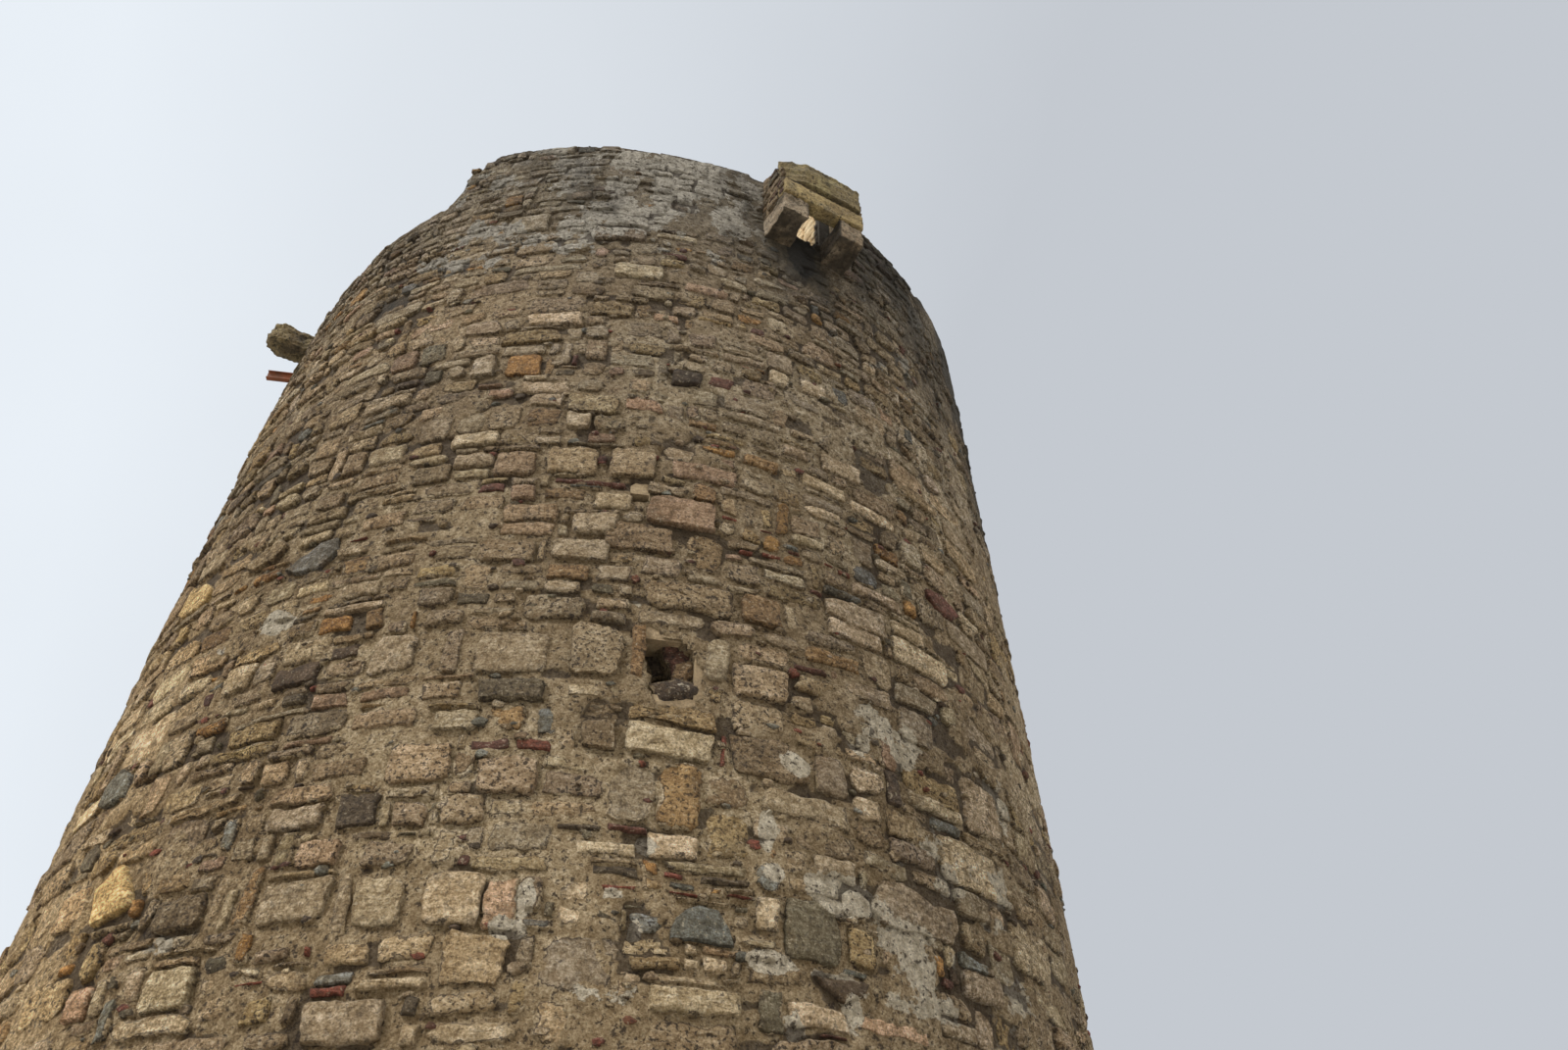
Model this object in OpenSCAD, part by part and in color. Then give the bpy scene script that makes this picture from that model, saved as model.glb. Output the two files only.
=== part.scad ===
// Round coastal watchtower of rubble masonry, in millimetres, with the ground at Z = 0.
// A solid lower mass carries a domed chamber, a roof terrace and its parapet. One box
// machicolation is whole; of a second one, over the door, only the corbels are left.
// A direction is an angle round the tower, from the front (-Y) towards the right (+X).

/* [Tower body] */
// Radius of the tower at the ground
base_radius = 4250; // [4100:2:4700]
// How far the outer face leans inwards for each metre of height
batter = 43.2; // [20:0.1:60]
// Height of the solid lower mass
lower_mass_height = 5500; // [4000:50:7000]

/* [Chamber] */
// Inner radius of the chamber
chamber_radius = 2500; // [2200:10:2700]
// Thickness of the chamber's paved floor
floor_thickness = 200; // [100:10:350]
// Height of the chamber's upright wall, from its floor to the foot of the dome
wall_rise = 2000; // [1950:10:2600]
// Height of the dome inside, above its foot
dome_rise = 1750; // [1400:10:2100]
// Thickness of the brick dome
dome_thickness = 280; // [200:10:350]
// Height of the haunch, the masonry behind the dome, above the dome's foot
haunch_rise = 1750; // [1200:10:1800]

/* [Doorway] */
// Direction that the doorway faces
door_direction = -90; // [-110:1:-70]
// Clear width of the doorway
door_width = 900; // [700:10:1000]
// Height of the door jambs, from the sill to the foot of the arch
jamb_height = 1250; // [1000:10:1280]
// Thickness of the ring of arch stones, in height
arch_ring = 230; // [150:10:240]
// Depth of the arch stones that show on the outer face
arch_depth = 340; // [250:10:500]
// Number of arch stones
arch_stones = 9; // [7:2:13]
// Width of the mortar joints between arch stones
arch_joint = 10; // [4:1:16]
// How far the sill stands out from the outer face
sill_overhang = 60; // [20:5:100]

/* [Terrace and parapet] */
// Height of the solid drum between the haunch and the parapet
drum_height = 1610; // [1200:10:2400]
// Thickness of the terrace paving
paving_thickness = 150; // [60:5:250]
// Height of the whole parapet above the drum, with its capping
parapet_height = 1100; // [900:10:1400]
// Thickness of the parapet at its top
parapet_thickness = 480; // [400:10:560]
// Height of the ruined stretch of the parapet above the drum
ruined_height = 380; // [340:10:600]
// Thickness of the mortar capping at its middle
capping_thickness = 80; // [60:5:110]
// Thickness of the mortar capping at its edges
capping_edge = 20; // [10:5:40]
// Angle, to each side of the doorway, over which the parapet is ruined
ruined_half_angle = 52; // [45:1:60]

/* [Box machicolation] */
// Direction that the box faces
box_direction = 17.4; // [5:0.1:25]
// Width of the box over its cheeks
box_width = 876; // [800:2:1060]
// How far the front of the box stands out from the wall at the foot of its corbels
box_projection = 390; // [300:2:450]
// Height of the corbels
corbel_height = 290; // [240:5:385]
// Width of each corbel
corbel_width = 275; // [240:5:340]
// Height of the upright end face of a corbel
corbel_nose = 245; // [160:5:260]
// How far the corbel ends lie behind the face of the lintel
corbel_setback = 22; // [10:2:40]
// Depth of the lintel and the courses on it
front_depth = 150; // [130:2:190]
// Height of the lintel
lintel_height = 215; // [150:5:240]
// Height of the middle course
course_height = 100; // [60:5:200]
// How far the middle course lies behind the lintel
course_recess = 30; // [10:2:40]
// Height of the top course
top_course_height = 285; // [200:5:320]
// Width of the bevel at the left end of the top course
corner_bevel = 120; // [30:5:125]
// Thickness of the cheek walls
cheek_thickness = 140; // [120:5:200]
// Height of the cheek walls' top above the corbels, at the parapet
cheek_back_rise = 700; // [600:10:800]
// Height of the cheek walls' top above the corbels, at the front
cheek_front_rise = 535; // [400:5:600]

/* [Remains of the second machicolation] */
// Angle between a remaining corbel and the doorway, round the tower
stub_angle = 17.5; // [14:0.5:24]
// Angle between a remaining corbel's length and the direction that the doorway faces
stub_turn = 9; // [0:0.5:12]
// How far the remaining corbels stand out from the wall
stub_projection = 350; // [250:10:450]
// Width of a remaining corbel
stub_width = 250; // [200:10:320]
// Height of a remaining corbel
stub_height = 250; // [200:10:260]
// Height of the remaining corbels' underside above the drum
stub_rise = 120; // [60:5:120]

/* [Iron beam] */
// Angle between the beam and the doorway, round the tower
beam_angle = 17; // [13:0.5:24]
// Angle between the beam's length and the direction that the doorway faces
beam_turn = -4; // [-8:0.5:8]
// Height of the beam's top below the top of the drum
beam_drop = 130; // [60:10:400]
// Depth of the beam's section
beam_depth = 100; // [80:5:140]
// Width of the beam's flanges
beam_width = 50; // [42:2:70]
// Thickness of the beam's flanges and web
beam_plate = 7; // [5:1:10]
// How far the beam stands out from the wall
beam_projection = 340; // [200:10:500]
// How far the beam runs into the wall
beam_embedment = 450; // [300:10:700]

/* [Holes in the wall] */
// Width of the hole left by a fallen stone
fallen_width = 370; // [250:10:450]
// Height of the hole left by a fallen stone
fallen_height = 420; // [300:10:480]
// Depth of the hole left by a fallen stone
fallen_depth = 380; // [200:10:500]
// Width of a scaffold hole
putlog_width = 130; // [90:5:180]
// Height of a scaffold hole
putlog_height = 190; // [120:5:240]
// Depth of a scaffold hole
putlog_depth = 450; // [250:10:600]

/* [Hidden] */
$fn = 288;

STONE = [0.62, 0.55, 0.43];
PALE_STONE = [0.70, 0.62, 0.45];
MORTAR = [0.60, 0.56, 0.49];
BRICK = [0.62, 0.40, 0.30];
RUST = [0.42, 0.20, 0.12];

// Levels, each the top of what its name says
floor_level = lower_mass_height + floor_thickness;
springing = floor_level + wall_rise;
haunch_top = springing + haunch_rise;
drum_top = haunch_top + drum_height;
terrace_level = drum_top + paving_thickness;
parapet_top = drum_top + parapet_height;
ruined_top = drum_top + ruined_height;
corbel_top = drum_top + corbel_height;

// The dome is a part of a sphere that starts on the chamber's wall
dome_radius = (chamber_radius * chamber_radius + dome_rise * dome_rise) / (2 * dome_rise);
dome_back_radius = dome_radius + dome_thickness;
dome_centre = springing + dome_rise - dome_radius;

// The chamber's wall stands in eight equal stretches, with the doorway in the middle of one,
// and the haunch in four
stretch_angle = 360 / 8;
haunch_angle = 360 / 4;
haunch_turn = 15;
stretch_names = [
    "wall_front", "wall_front_right", "wall_right", "wall_back_right", "wall_back",
    "wall_back_left", "wall_front_left"
];
// Order of each named stretch, counted from the doorway
stretch_orders = [2, 3, 4, 5, 6, 7, 1];

door_spring = floor_level + jamb_height;
arch_back_radius = door_width / 2 + arch_ring;
arch_stone_angle = 180 / arch_stones;

// The whole parapet runs from one broken end round the front to the other
ruin_near = door_direction + ruined_half_angle;
ruin_far = door_direction - ruined_half_angle + 360;
back_stretch = (ruin_far - box_direction) / 4;
parapet_inner = wall_r(parapet_top) - parapet_thickness;
body_top = parapet_top - capping_thickness;
capping_rise = capping_thickness - capping_edge;
capping_radius = (pow(parapet_thickness / 2, 2) + capping_rise * capping_rise) / (2 * capping_rise);
// Outline of a broken end, as shares of its length and height
break_length = 380;
break_outline = [[0.03, 0], [0.06, 0.11], [0.3, 0.19], [0.58, 0.27], [0.62, 0.5], [0.78, 0.72], [0.88, 1]];

box_front = wall_r(drum_top) + box_projection;
box_gap = box_width / 2 - cheek_thickness;
corbel_gap = box_width / 2 - corbel_width;
lintel_top = corbel_top + lintel_height;
course_top = lintel_top + course_height;
corner_bite = 45;

stub_foot = drum_top + stub_rise;
stub_offset = wall_r(stub_foot) * sin(stub_angle - stub_turn);

beam_top = drum_top - beam_drop;
beam_offset = wall_r(beam_top) * sin(beam_angle - beam_turn);

// Holes in the front stretch: [direction, height of the middle]. The back repeats them.
fallen_place = [0.8, 5945];
putlog_places = [[-3, 7330], [57, 8590]];

reach = 3 * base_radius;

function wall_r(z) = base_radius - batter * z / 1000;

// Turns a shape made for the front (-Y) to another direction
module facing(direction) {
    rotate([0, 0, direction]) children();
}

// The tower's outer shape between two heights
module tower_shape(low, high) {
    translate([0, 0, low]) cylinder(h = high - low, r1 = wall_r(low), r2 = wall_r(high));
}

// A block that faces the front: x from left to right, distance from the axis, and height
module front_block(left, right, near, far, low, high) {
    translate([left, -far, low]) cube([right - left, far - near, high - low]);
}

// Turns a profile of [distance, height] points from one direction to another
module turned(start, stop) {
    rotate([0, 0, start - 90]) rotate_extrude(angle = stop - start) children();
}

// One stretch of the chamber's upright wall
module wall_stretch(order) {
    middle = door_direction + order * stretch_angle;
    turned(middle - stretch_angle / 2, middle + stretch_angle / 2)
        polygon([
            [chamber_radius, lower_mass_height],
            [wall_r(lower_mass_height), lower_mass_height],
            [wall_r(springing), springing],
            [chamber_radius, springing]
        ]);
}

// The profile between two heights of what lies outside the dome
module profile_behind_dome(low, high) {
    difference() {
        polygon([[0, low], [wall_r(low), low], [wall_r(high), high], [0, high]]);
        translate([0, dome_centre]) circle(r = dome_back_radius);
    }
}

module fallen_stone_hole(direction) {
    z = fallen_place[1];
    facing(direction)
        front_block(
            -fallen_width / 2, fallen_width / 2, wall_r(z) - fallen_depth, reach,
            z - fallen_height / 2, z + fallen_height / 2
        );
}

module putlog_hole(direction, z) {
    facing(direction)
        front_block(
            -putlog_width / 2, putlog_width / 2, wall_r(z) - putlog_depth, reach,
            z - putlog_height / 2, z + putlog_height / 2
        );
}

module wall_holes() {
    for (turn = [0, 180]) {
        fallen_stone_hole(fallen_place[0] + turn);
        for (place = putlog_places) putlog_hole(place[0] + turn, place[1]);
    }
}

module named_wall(name) {
    order = stretch_orders[search([name], stretch_names)[0]];
    color(STONE)
        difference() {
            wall_stretch(order);
            wall_holes();
        }
}

module lower_mass() {
    color(STONE) tower_shape(0, lower_mass_height);
}

module chamber_floor() {
    color(BRICK)
        translate([0, 0, lower_mass_height]) cylinder(h = floor_thickness, r = chamber_radius);
}

// The upper half of a round bar along the doorway's passage
module arch_bar(radius) {
    facing(door_direction)
        translate([0, 0, door_spring])
            rotate([90, 0, 0])
                linear_extrude(reach)
                    intersection() {
                        circle(r = radius);
                        translate([-radius, 0]) square([2 * radius, radius]);
                    }
}

module door_band(near = 0, low = 0, high = reach) {
    facing(door_direction)
        front_block(-door_width / 2, door_width / 2, near, reach, low, high);
}

module wall_beside_door(side) {
    color(STONE)
        difference() {
            wall_stretch(0);
            door_band();
            arch_bar(arch_back_radius);
            facing(door_direction + 90 - side * 90)
                front_block(-reach, 0, -reach, reach, 0, reach);
        }
}

module wall_over_door() {
    color(STONE)
        difference() {
            intersection() {
                wall_stretch(0);
                door_band(0, door_spring);
            }
            arch_bar(arch_back_radius);
        }
}

module door_sill() {
    color(PALE_STONE)
        difference() {
            facing(door_direction)
                front_block(
                    -door_width / 2, door_width / 2, 0,
                    wall_r(lower_mass_height) + sill_overhang, lower_mass_height, floor_level
                );
            translate([0, 0, lower_mass_height]) cylinder(h = reach, r = chamber_radius);
        }
}

// Distance from the axis of the back of the arch stones
arch_back = wall_r(door_spring + arch_back_radius) - arch_depth;

module arch_stone(order) {
    half_joint = arch_joint / 2;
    first = order == 0 ? 0 : half_joint;
    last = order == arch_stones - 1 ? 0 : half_joint;
    rotate([0, 0, order * arch_stone_angle])
        intersection() {
            difference() {
                circle(r = arch_back_radius);
                circle(r = door_width / 2);
            }
            translate([0, first]) square([reach, reach]);
            rotate([0, 0, arch_stone_angle]) translate([0, -reach - last]) square([reach, reach]);
        }
}

module door_arch() {
    color(PALE_STONE)
        intersection() {
            facing(door_direction)
                translate([0, -arch_back, door_spring])
                    rotate([90, 0, 0])
                        for (order = [0:arch_stones - 1])
                            linear_extrude(reach) arch_stone(order);
            tower_shape(0, haunch_top);
        }
}

module passage_vault() {
    color(BRICK)
        difference() {
            arch_bar(arch_back_radius);
            arch_bar(door_width / 2);
            facing(door_direction) front_block(-reach, reach, arch_back, reach, 0, reach);
            cylinder(h = reach, r = chamber_radius);
        }
}

module dome() {
    color(BRICK)
        rotate_extrude()
            difference() {
                translate([0, dome_centre]) circle(r = dome_back_radius);
                translate([0, dome_centre]) circle(r = dome_radius);
                translate([-reach, springing - reach]) square([2 * reach, reach]);
                translate([-reach, 0]) square([reach, reach]);
            }
}

module haunch(direction) {
    color(STONE)
        difference() {
            turned(direction + haunch_turn - haunch_angle / 2, direction + haunch_turn + haunch_angle / 2)
                profile_behind_dome(springing, haunch_top);
            wall_holes();
        }
}

module drum() {
    color(STONE)
        difference() {
            rotate_extrude() profile_behind_dome(haunch_top, drum_top);
            beam_bar(beam_width / 2, 0, beam_depth);
        }
}

module terrace_paving() {
    color(MORTAR)
        translate([0, 0, drum_top]) cylinder(h = paving_thickness, r = parapet_inner);
}

// What a broken parapet end has lost. The side is 1 where the parapet goes on to the right.
module broken_away(direction, side) {
    rise = parapet_top - ruined_top;
    facing(direction)
        translate([0, 0, ruined_top])
            rotate([90, 0, 0])
                linear_extrude(reach)
                    polygon(concat(
                        [for (p = break_outline) [side * p[0] * break_length, p[1] * rise]],
                        [[side * break_length, 2 * rise], [-side * rise, 2 * rise], [-side * rise, 0]]
                    ));
}

// Everything that the parapet leaves room for
module parapet_cuts() {
    broken_away(ruin_near, 1);
    broken_away(ruin_far, -1);
    facing(box_direction) {
        front_block(-box_gap, box_gap, 0, reach, drum_top, reach);
        front_block(-box_width / 2, box_width / 2, 0, reach, drum_top, corbel_top);
    }
}

module parapet_stretch(start, stop) {
    color(STONE)
        difference() {
            turned(start, stop)
                polygon([
                    [parapet_inner, drum_top],
                    [wall_r(drum_top), drum_top],
                    [wall_r(body_top), body_top],
                    [parapet_inner, body_top]
                ]);
            parapet_cuts();
        }
}

module capping_stretch(start, stop) {
    outer = wall_r(body_top);
    middle = (parapet_inner + outer) / 2;
    color(MORTAR)
        difference() {
            turned(start, stop)
                intersection() {
                    translate([parapet_inner, body_top])
                        square([outer - parapet_inner, capping_thickness]);
                    translate([middle, parapet_top - capping_radius]) circle(r = capping_radius);
                }
            parapet_cuts();
        }
}

module ruined_stretch(start, stop) {
    color(STONE)
        difference() {
            turned(start, stop)
                polygon([
                    [parapet_inner, drum_top],
                    [wall_r(drum_top), drum_top],
                    [wall_r(ruined_top), ruined_top],
                    [parapet_inner, ruined_top]
                ]);
            for (side = [-1, 1]) stub_seat(side);
        }
}

// A corbel with an upright end and a rounded foot, tailed through the parapet
module corbel(side) {
    nose = box_front - corbel_setback;
    root = wall_r(drum_top);
    foot = corbel_height - corbel_nose;
    color(PALE_STONE)
        facing(box_direction)
            difference() {
                translate([side > 0 ? corbel_gap : -box_width / 2, 0, drum_top])
                    rotate([90, 0, 90])
                        linear_extrude(corbel_width)
                            polygon(concat(
                                [[0, 0], [-root, 0]],
                                [for (a = [15:15:75]) [-root - (nose - root) * sin(a), foot * (1 - cos(a))]],
                                [[-nose, foot], [-nose, corbel_height], [0, corbel_height]]
                            ));
                cylinder(h = reach, r = parapet_inner);
            }
}

// The stone between the tails of the corbels, flush with the tower's outer face
module box_threshold() {
    color(STONE)
        difference() {
            intersection() {
                facing(box_direction)
                    front_block(-corbel_gap, corbel_gap, 0, reach, drum_top, corbel_top);
                tower_shape(drum_top, corbel_top);
            }
            cylinder(h = reach, r = parapet_inner);
        }
}

module box_lintel() {
    color(PALE_STONE)
        facing(box_direction)
            front_block(
                -box_width / 2, box_width / 2, box_front - front_depth, box_front,
                corbel_top, lintel_top
            );
}

module box_course() {
    color(STONE)
        facing(box_direction)
            front_block(
                -box_width / 2, box_width / 2, box_front - front_depth,
                box_front - course_recess, lintel_top, course_top
            );
}

// The top course, with its left corner bevelled and its far end bitten by the weather
module box_top_course() {
    left = -box_width / 2;
    right = box_width / 2;
    back = box_front - front_depth;
    color(PALE_STONE)
        facing(box_direction)
            translate([0, 0, course_top])
                linear_extrude(top_course_height)
                    polygon([
                        [left, -back],
                        [left, -box_front + corner_bevel],
                        [left + 2 * corner_bevel, -box_front],
                        [right - corner_bite, -box_front],
                        [right, -box_front + corner_bite / 2],
                        [right, -back]
                    ]);
}

// A cheek wall of the box, whose top falls from the parapet to the front
module box_cheek(side) {
    root = wall_r(drum_top);
    color(STONE)
        difference() {
            facing(box_direction)
                translate([side > 0 ? box_gap : -box_width / 2, 0, corbel_top])
                    rotate([90, 0, 90])
                        linear_extrude(cheek_thickness)
                            polygon([
                                [0, 0],
                                [front_depth - box_front, 0],
                                [front_depth - box_front, cheek_front_rise],
                                [-root, cheek_back_rise],
                                [0, cheek_back_rise]
                            ]);
            tower_shape(0, 2 * parapet_top);
        }
}

// The room that the tail of a remaining corbel takes in the ruined parapet
module stub_seat(side) {
    facing(door_direction + side * stub_turn)
        front_block(
            side * stub_offset - stub_width / 2, side * stub_offset + stub_width / 2,
            0, reach, stub_foot, stub_foot + stub_height
        );
}

// A worn corbel: its outlines from the side and from above, cut from one block
module stub_corbel(side) {
    root = wall_r(stub_foot) * cos(stub_angle - stub_turn);
    tip = root + stub_projection;
    worn = stub_height / 4;
    color(STONE)
        difference() {
            facing(door_direction + side * stub_turn)
                translate([side * stub_offset, 0, stub_foot])
                    intersection() {
                        rotate([90, 0, 90])
                            translate([0, 0, -stub_width / 2])
                                linear_extrude(stub_width)
                                    polygon([
                                        [0, 0],
                                        [-root - worn, 0],
                                        [-tip + 2 * worn, worn / 3],
                                        [-tip + worn / 2, worn],
                                        [-tip, 2 * worn],
                                        [-tip + worn / 3, stub_height - worn],
                                        [-tip + worn, stub_height - worn / 4],
                                        [-tip + 3 * worn, stub_height],
                                        [0, stub_height]
                                    ]);
                        linear_extrude(stub_height)
                            polygon([
                                [-stub_width / 2, 0],
                                [-stub_width / 2, -tip + 2 * worn],
                                [-stub_width / 4, -tip + worn / 4],
                                [stub_width / 8, -tip],
                                [stub_width / 2 - worn / 3, -tip + worn],
                                [stub_width / 2, -tip + 2 * worn],
                                [stub_width / 2, 0]
                            ]);
                    }
            cylinder(h = reach, r = parapet_inner);
        }
}

// A bar along the doorway's direction at the iron beam's place
module beam_bar(half_width, low, high) {
    root = wall_r(beam_top) * cos(beam_angle - beam_turn);
    facing(door_direction + beam_turn)
        front_block(
            beam_offset - half_width, beam_offset + half_width, root - beam_embedment,
            root + beam_projection, beam_top - beam_depth + low, beam_top - beam_depth + high
        );
}

module iron_beam() {
    color(RUST) {
        beam_bar(beam_width / 2, 0, beam_plate);
        beam_bar(beam_plate / 2, 0, beam_depth);
        beam_bar(beam_width / 2, beam_depth - beam_plate, beam_depth);
    }
}

lower_mass();
chamber_floor();
for (name = stretch_names) {
    named_wall(name);
}
wall_beside_door(1);  // wall_near_door
wall_beside_door(-1);  // wall_far_door
wall_over_door();
door_sill();
door_arch();
passage_vault();
dome();
haunch(0);  // haunch_front
haunch(90);  // haunch_right
haunch(180);  // haunch_back
haunch(270);  // haunch_left
drum();
terrace_paving();
parapet_stretch(ruin_near, box_direction);  // parapet_front
parapet_stretch(box_direction, box_direction + back_stretch);  // parapet_right
parapet_stretch(box_direction + back_stretch, box_direction + 2 * back_stretch);  // parapet_back_right
parapet_stretch(box_direction + 2 * back_stretch, box_direction + 3 * back_stretch);  // parapet_back
parapet_stretch(box_direction + 3 * back_stretch, ruin_far);  // parapet_back_left
ruined_stretch(door_direction, ruin_near);  // parapet_ruined_near
ruined_stretch(door_direction - ruined_half_angle, door_direction);  // parapet_ruined_far
capping_stretch(ruin_near, box_direction);  // capping_front
capping_stretch(box_direction, box_direction + back_stretch);  // capping_right
capping_stretch(box_direction + back_stretch, box_direction + 2 * back_stretch);  // capping_back_right
capping_stretch(box_direction + 2 * back_stretch, box_direction + 3 * back_stretch);  // capping_back
capping_stretch(box_direction + 3 * back_stretch, ruin_far);  // capping_back_left
corbel(-1);  // corbel_left
corbel(1);  // corbel_right
box_threshold();
box_lintel();
box_course();
box_top_course();
box_cheek(-1);  // box_cheek_left
box_cheek(1);  // box_cheek_right
stub_corbel(1);  // stub_corbel_near
stub_corbel(-1);  // stub_corbel_far
iron_beam();
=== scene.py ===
import math

import bpy
import numpy as np
from mathutils import Matrix, Vector


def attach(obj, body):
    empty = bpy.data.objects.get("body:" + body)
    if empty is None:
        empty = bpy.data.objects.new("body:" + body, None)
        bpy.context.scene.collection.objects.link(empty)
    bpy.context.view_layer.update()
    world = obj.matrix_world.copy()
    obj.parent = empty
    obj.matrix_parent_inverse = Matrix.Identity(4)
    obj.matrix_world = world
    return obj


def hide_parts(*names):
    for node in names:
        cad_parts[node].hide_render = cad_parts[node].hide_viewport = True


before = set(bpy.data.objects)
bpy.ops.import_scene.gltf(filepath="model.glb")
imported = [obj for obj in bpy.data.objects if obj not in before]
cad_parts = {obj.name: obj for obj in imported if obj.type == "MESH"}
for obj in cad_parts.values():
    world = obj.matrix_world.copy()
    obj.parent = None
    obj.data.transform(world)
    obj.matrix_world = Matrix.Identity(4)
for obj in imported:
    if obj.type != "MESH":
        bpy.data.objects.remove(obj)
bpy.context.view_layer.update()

TAU = 2.0 * math.pi

# ---------------------------------------------------------------- the photograph's camera
IMAGE_W, IMAGE_H = 1600.0, 1071.0
MID_X, MID_Y = IMAGE_W / 2, IMAGE_H / 2
FOCAL_PX = 1220.0
EYE = np.array([-0.67361232, -10.11303072, 1.68])
FORWARD = np.array([0.17695875, 0.72591396, 0.66463111])
RIGHT = np.array([0.97240018, -0.23328311, -0.00410942])
UP = np.cross(RIGHT, FORWARD)

# ---------------------------------------------------------------- the tower, from the CAD source
BASE_RADIUS = 4.25
BATTER = 0.0432
LEAN_FROM, LEAN_SLOPE = 9.45, 0.045
# places along the outer face are measured in metres at this radius
R_REF = 4.0
PARAPET_INNER = 3.255
TERRACE_Z = 11.21
BODY_TOP = 12.08
CAPPING_TOP = 12.16
RUINED_TOP = 11.44
HIGHEST = 12.4
NEAR_BREAK_DEG, FAR_BREAK_DEG = -36.0, -144.0
DOOR_DEG = -90.0
BOX_DEG = 17.4
# the rim as the photograph shows it: direction in degrees, height
PARAPET_TOPS = (
    (-36, 12.10), (-35, 12.11), (-34, 12.14), (-32, 12.22), (-30, 12.295), (-26, 12.295),
    (-24, 12.26), (-20, 12.24), (-16, 12.24), (-12, 12.20), (-8, 12.18), (-2, 12.16), (6, 12.145),
    (10, 12.12), (14, 12.12), (24, 12.14), (31, 12.24), (34, 12.18), (36, 12.22), (38, 12.14),
    (42, 12.21), (44, 12.12), (47, 12.10), (54, 12.12), (61, 12.16), (75, 12.10), (90, 12.18),
    (110, 12.10), (130, 12.17), (150, 12.10), (170, 12.19), (190, 12.10), (214, 12.16),
)
RUINED_TOPS = (
    (-146, 11.55), (-140, 11.46), (-130, 11.5), (-120, 11.42), (-110, 11.48),
    (-100, 11.40), (-90, 11.45), (-80, 11.40), (-72, 11.44), (-66, 11.41), (-62, 11.47),
    (-59, 11.58), (-57, 11.6), (-53, 11.44), (-49, 11.46), (-46, 11.42), (-42.4, 11.43),
    (-38.5, 11.5), (-34.8, 11.6),
)

# ---------------------------------------------------------------- noise


def cell_value(i, j, k, seed):
    n = (i * 73856093) ^ (j * 19349663) ^ (k * 83492791) ^ (seed * 265443576)
    n &= 0xFFFFFFFF
    n = ((n ^ (n >> 13)) * 1274126177) & 0xFFFFFFFF
    n = ((n ^ (n >> 16)) * 374761393) & 0xFFFFFFFF
    return ((n ^ (n >> 15)) & 0xFFFFFF) / float(0xFFFFFF)


def value_noise(p, seed=0):
    """Smooth noise from -1 to 1 at the points p, one row each."""
    base = np.floor(p).astype(np.int64)
    f = p - base
    f = f * f * (3.0 - 2.0 * f)
    total = 0.0
    for dx in (0, 1):
        for dy in (0, 1):
            for dz in (0, 1):
                weight = np.ones(len(p))
                for axis, d in enumerate((dx, dy, dz)):
                    weight = weight * (f[:, axis] if d else 1.0 - f[:, axis])
                corner = base + (dx, dy, dz)
                total = total + weight * cell_value(*corner.T, seed)
    return total * 2.0 - 1.0


def fbm(p, scale, octaves=3, seed=0):
    """Noise from -1 to 1 with ever finer octaves."""
    total, amplitude, reach = 0.0, 1.0, 0.0
    for octave in range(octaves):
        total = total + amplitude * value_noise(p * scale * 2.03**octave, seed + octave)
        reach += amplitude
        amplitude *= 0.5
    return total / reach


def smooth(edge0, edge1, x):
    t = np.clip((np.asarray(x, float) - edge0) / (edge1 - edge0), 0.0, 1.0)
    return t * t * (3.0 - 2.0 * t)


def table(rows, x):
    """The value at x of a line through rows of (x, value)."""
    rows = np.array(rows, float)
    return np.interp(x, rows[:, 0], rows[:, 1])


# ---------------------------------------------------------------- where things lie on the wall


def wrap(deg):
    """Directions in degrees from -180 to 180."""
    return (np.asarray(deg, float) + 180.0) % 360.0 - 180.0


def azimuth(u):
    """The direction in degrees, -180 to 180, of a place u along the outer face."""
    return wrap(np.degrees(np.asarray(u) / R_REF))


def along(deg):
    """The place u along the outer face in a direction in degrees."""
    return math.radians(deg) * R_REF


def rim_direction(deg):
    """Directions from -140 to 220 degrees, as PARAPET_TOPS has them."""
    deg = wrap(deg)
    return np.where(deg < -140.0, deg + 360.0, deg)


def lean(deg, v):
    """How far the upper wall leans in past its batter, on the left and round the door side."""
    share = smooth(-44.0, -58.0, wrap(deg)) * smooth(-142.0, -118.0, wrap(deg))
    return LEAN_SLOPE * np.maximum(v - LEAN_FROM, 0.0) * share


def ring(r, az, z):
    """Points at radius r, direction az in radians and height z."""
    return np.stack([r * np.sin(az), -r * np.cos(az), z + 0.0 * az], -1)


def outer(u, v, h):
    """The battered outer face: u along it to the right in metres at R_REF, v up, h out."""
    az = u / R_REF
    return ring(BASE_RADIUS - BATTER * v + h - lean(np.degrees(az), v), az, v)


def inner(u, v, h):
    """The parapet's inner face, seen from the terrace."""
    return ring(PARAPET_INNER - h, -u / R_REF, v)


def wall_top(u, v, h):
    """The ruined parapet's top: u along it, v inward from the outer face, h up."""
    az = u / R_REF
    r = BASE_RADIUS - BATTER * RUINED_TOP - v - lean(np.degrees(az), RUINED_TOP)
    return ring(r, az, table(RUINED_TOPS, azimuth(u)) + h)


def project(p):
    """Pixels of the points p."""
    v = p - EYE
    depth = v @ FORWARD
    x, y = MID_X + FOCAL_PX * (v @ RIGHT) / depth, MID_Y - FOCAL_PX * (v @ UP) / depth
    return np.stack([x, y], -1)


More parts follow.
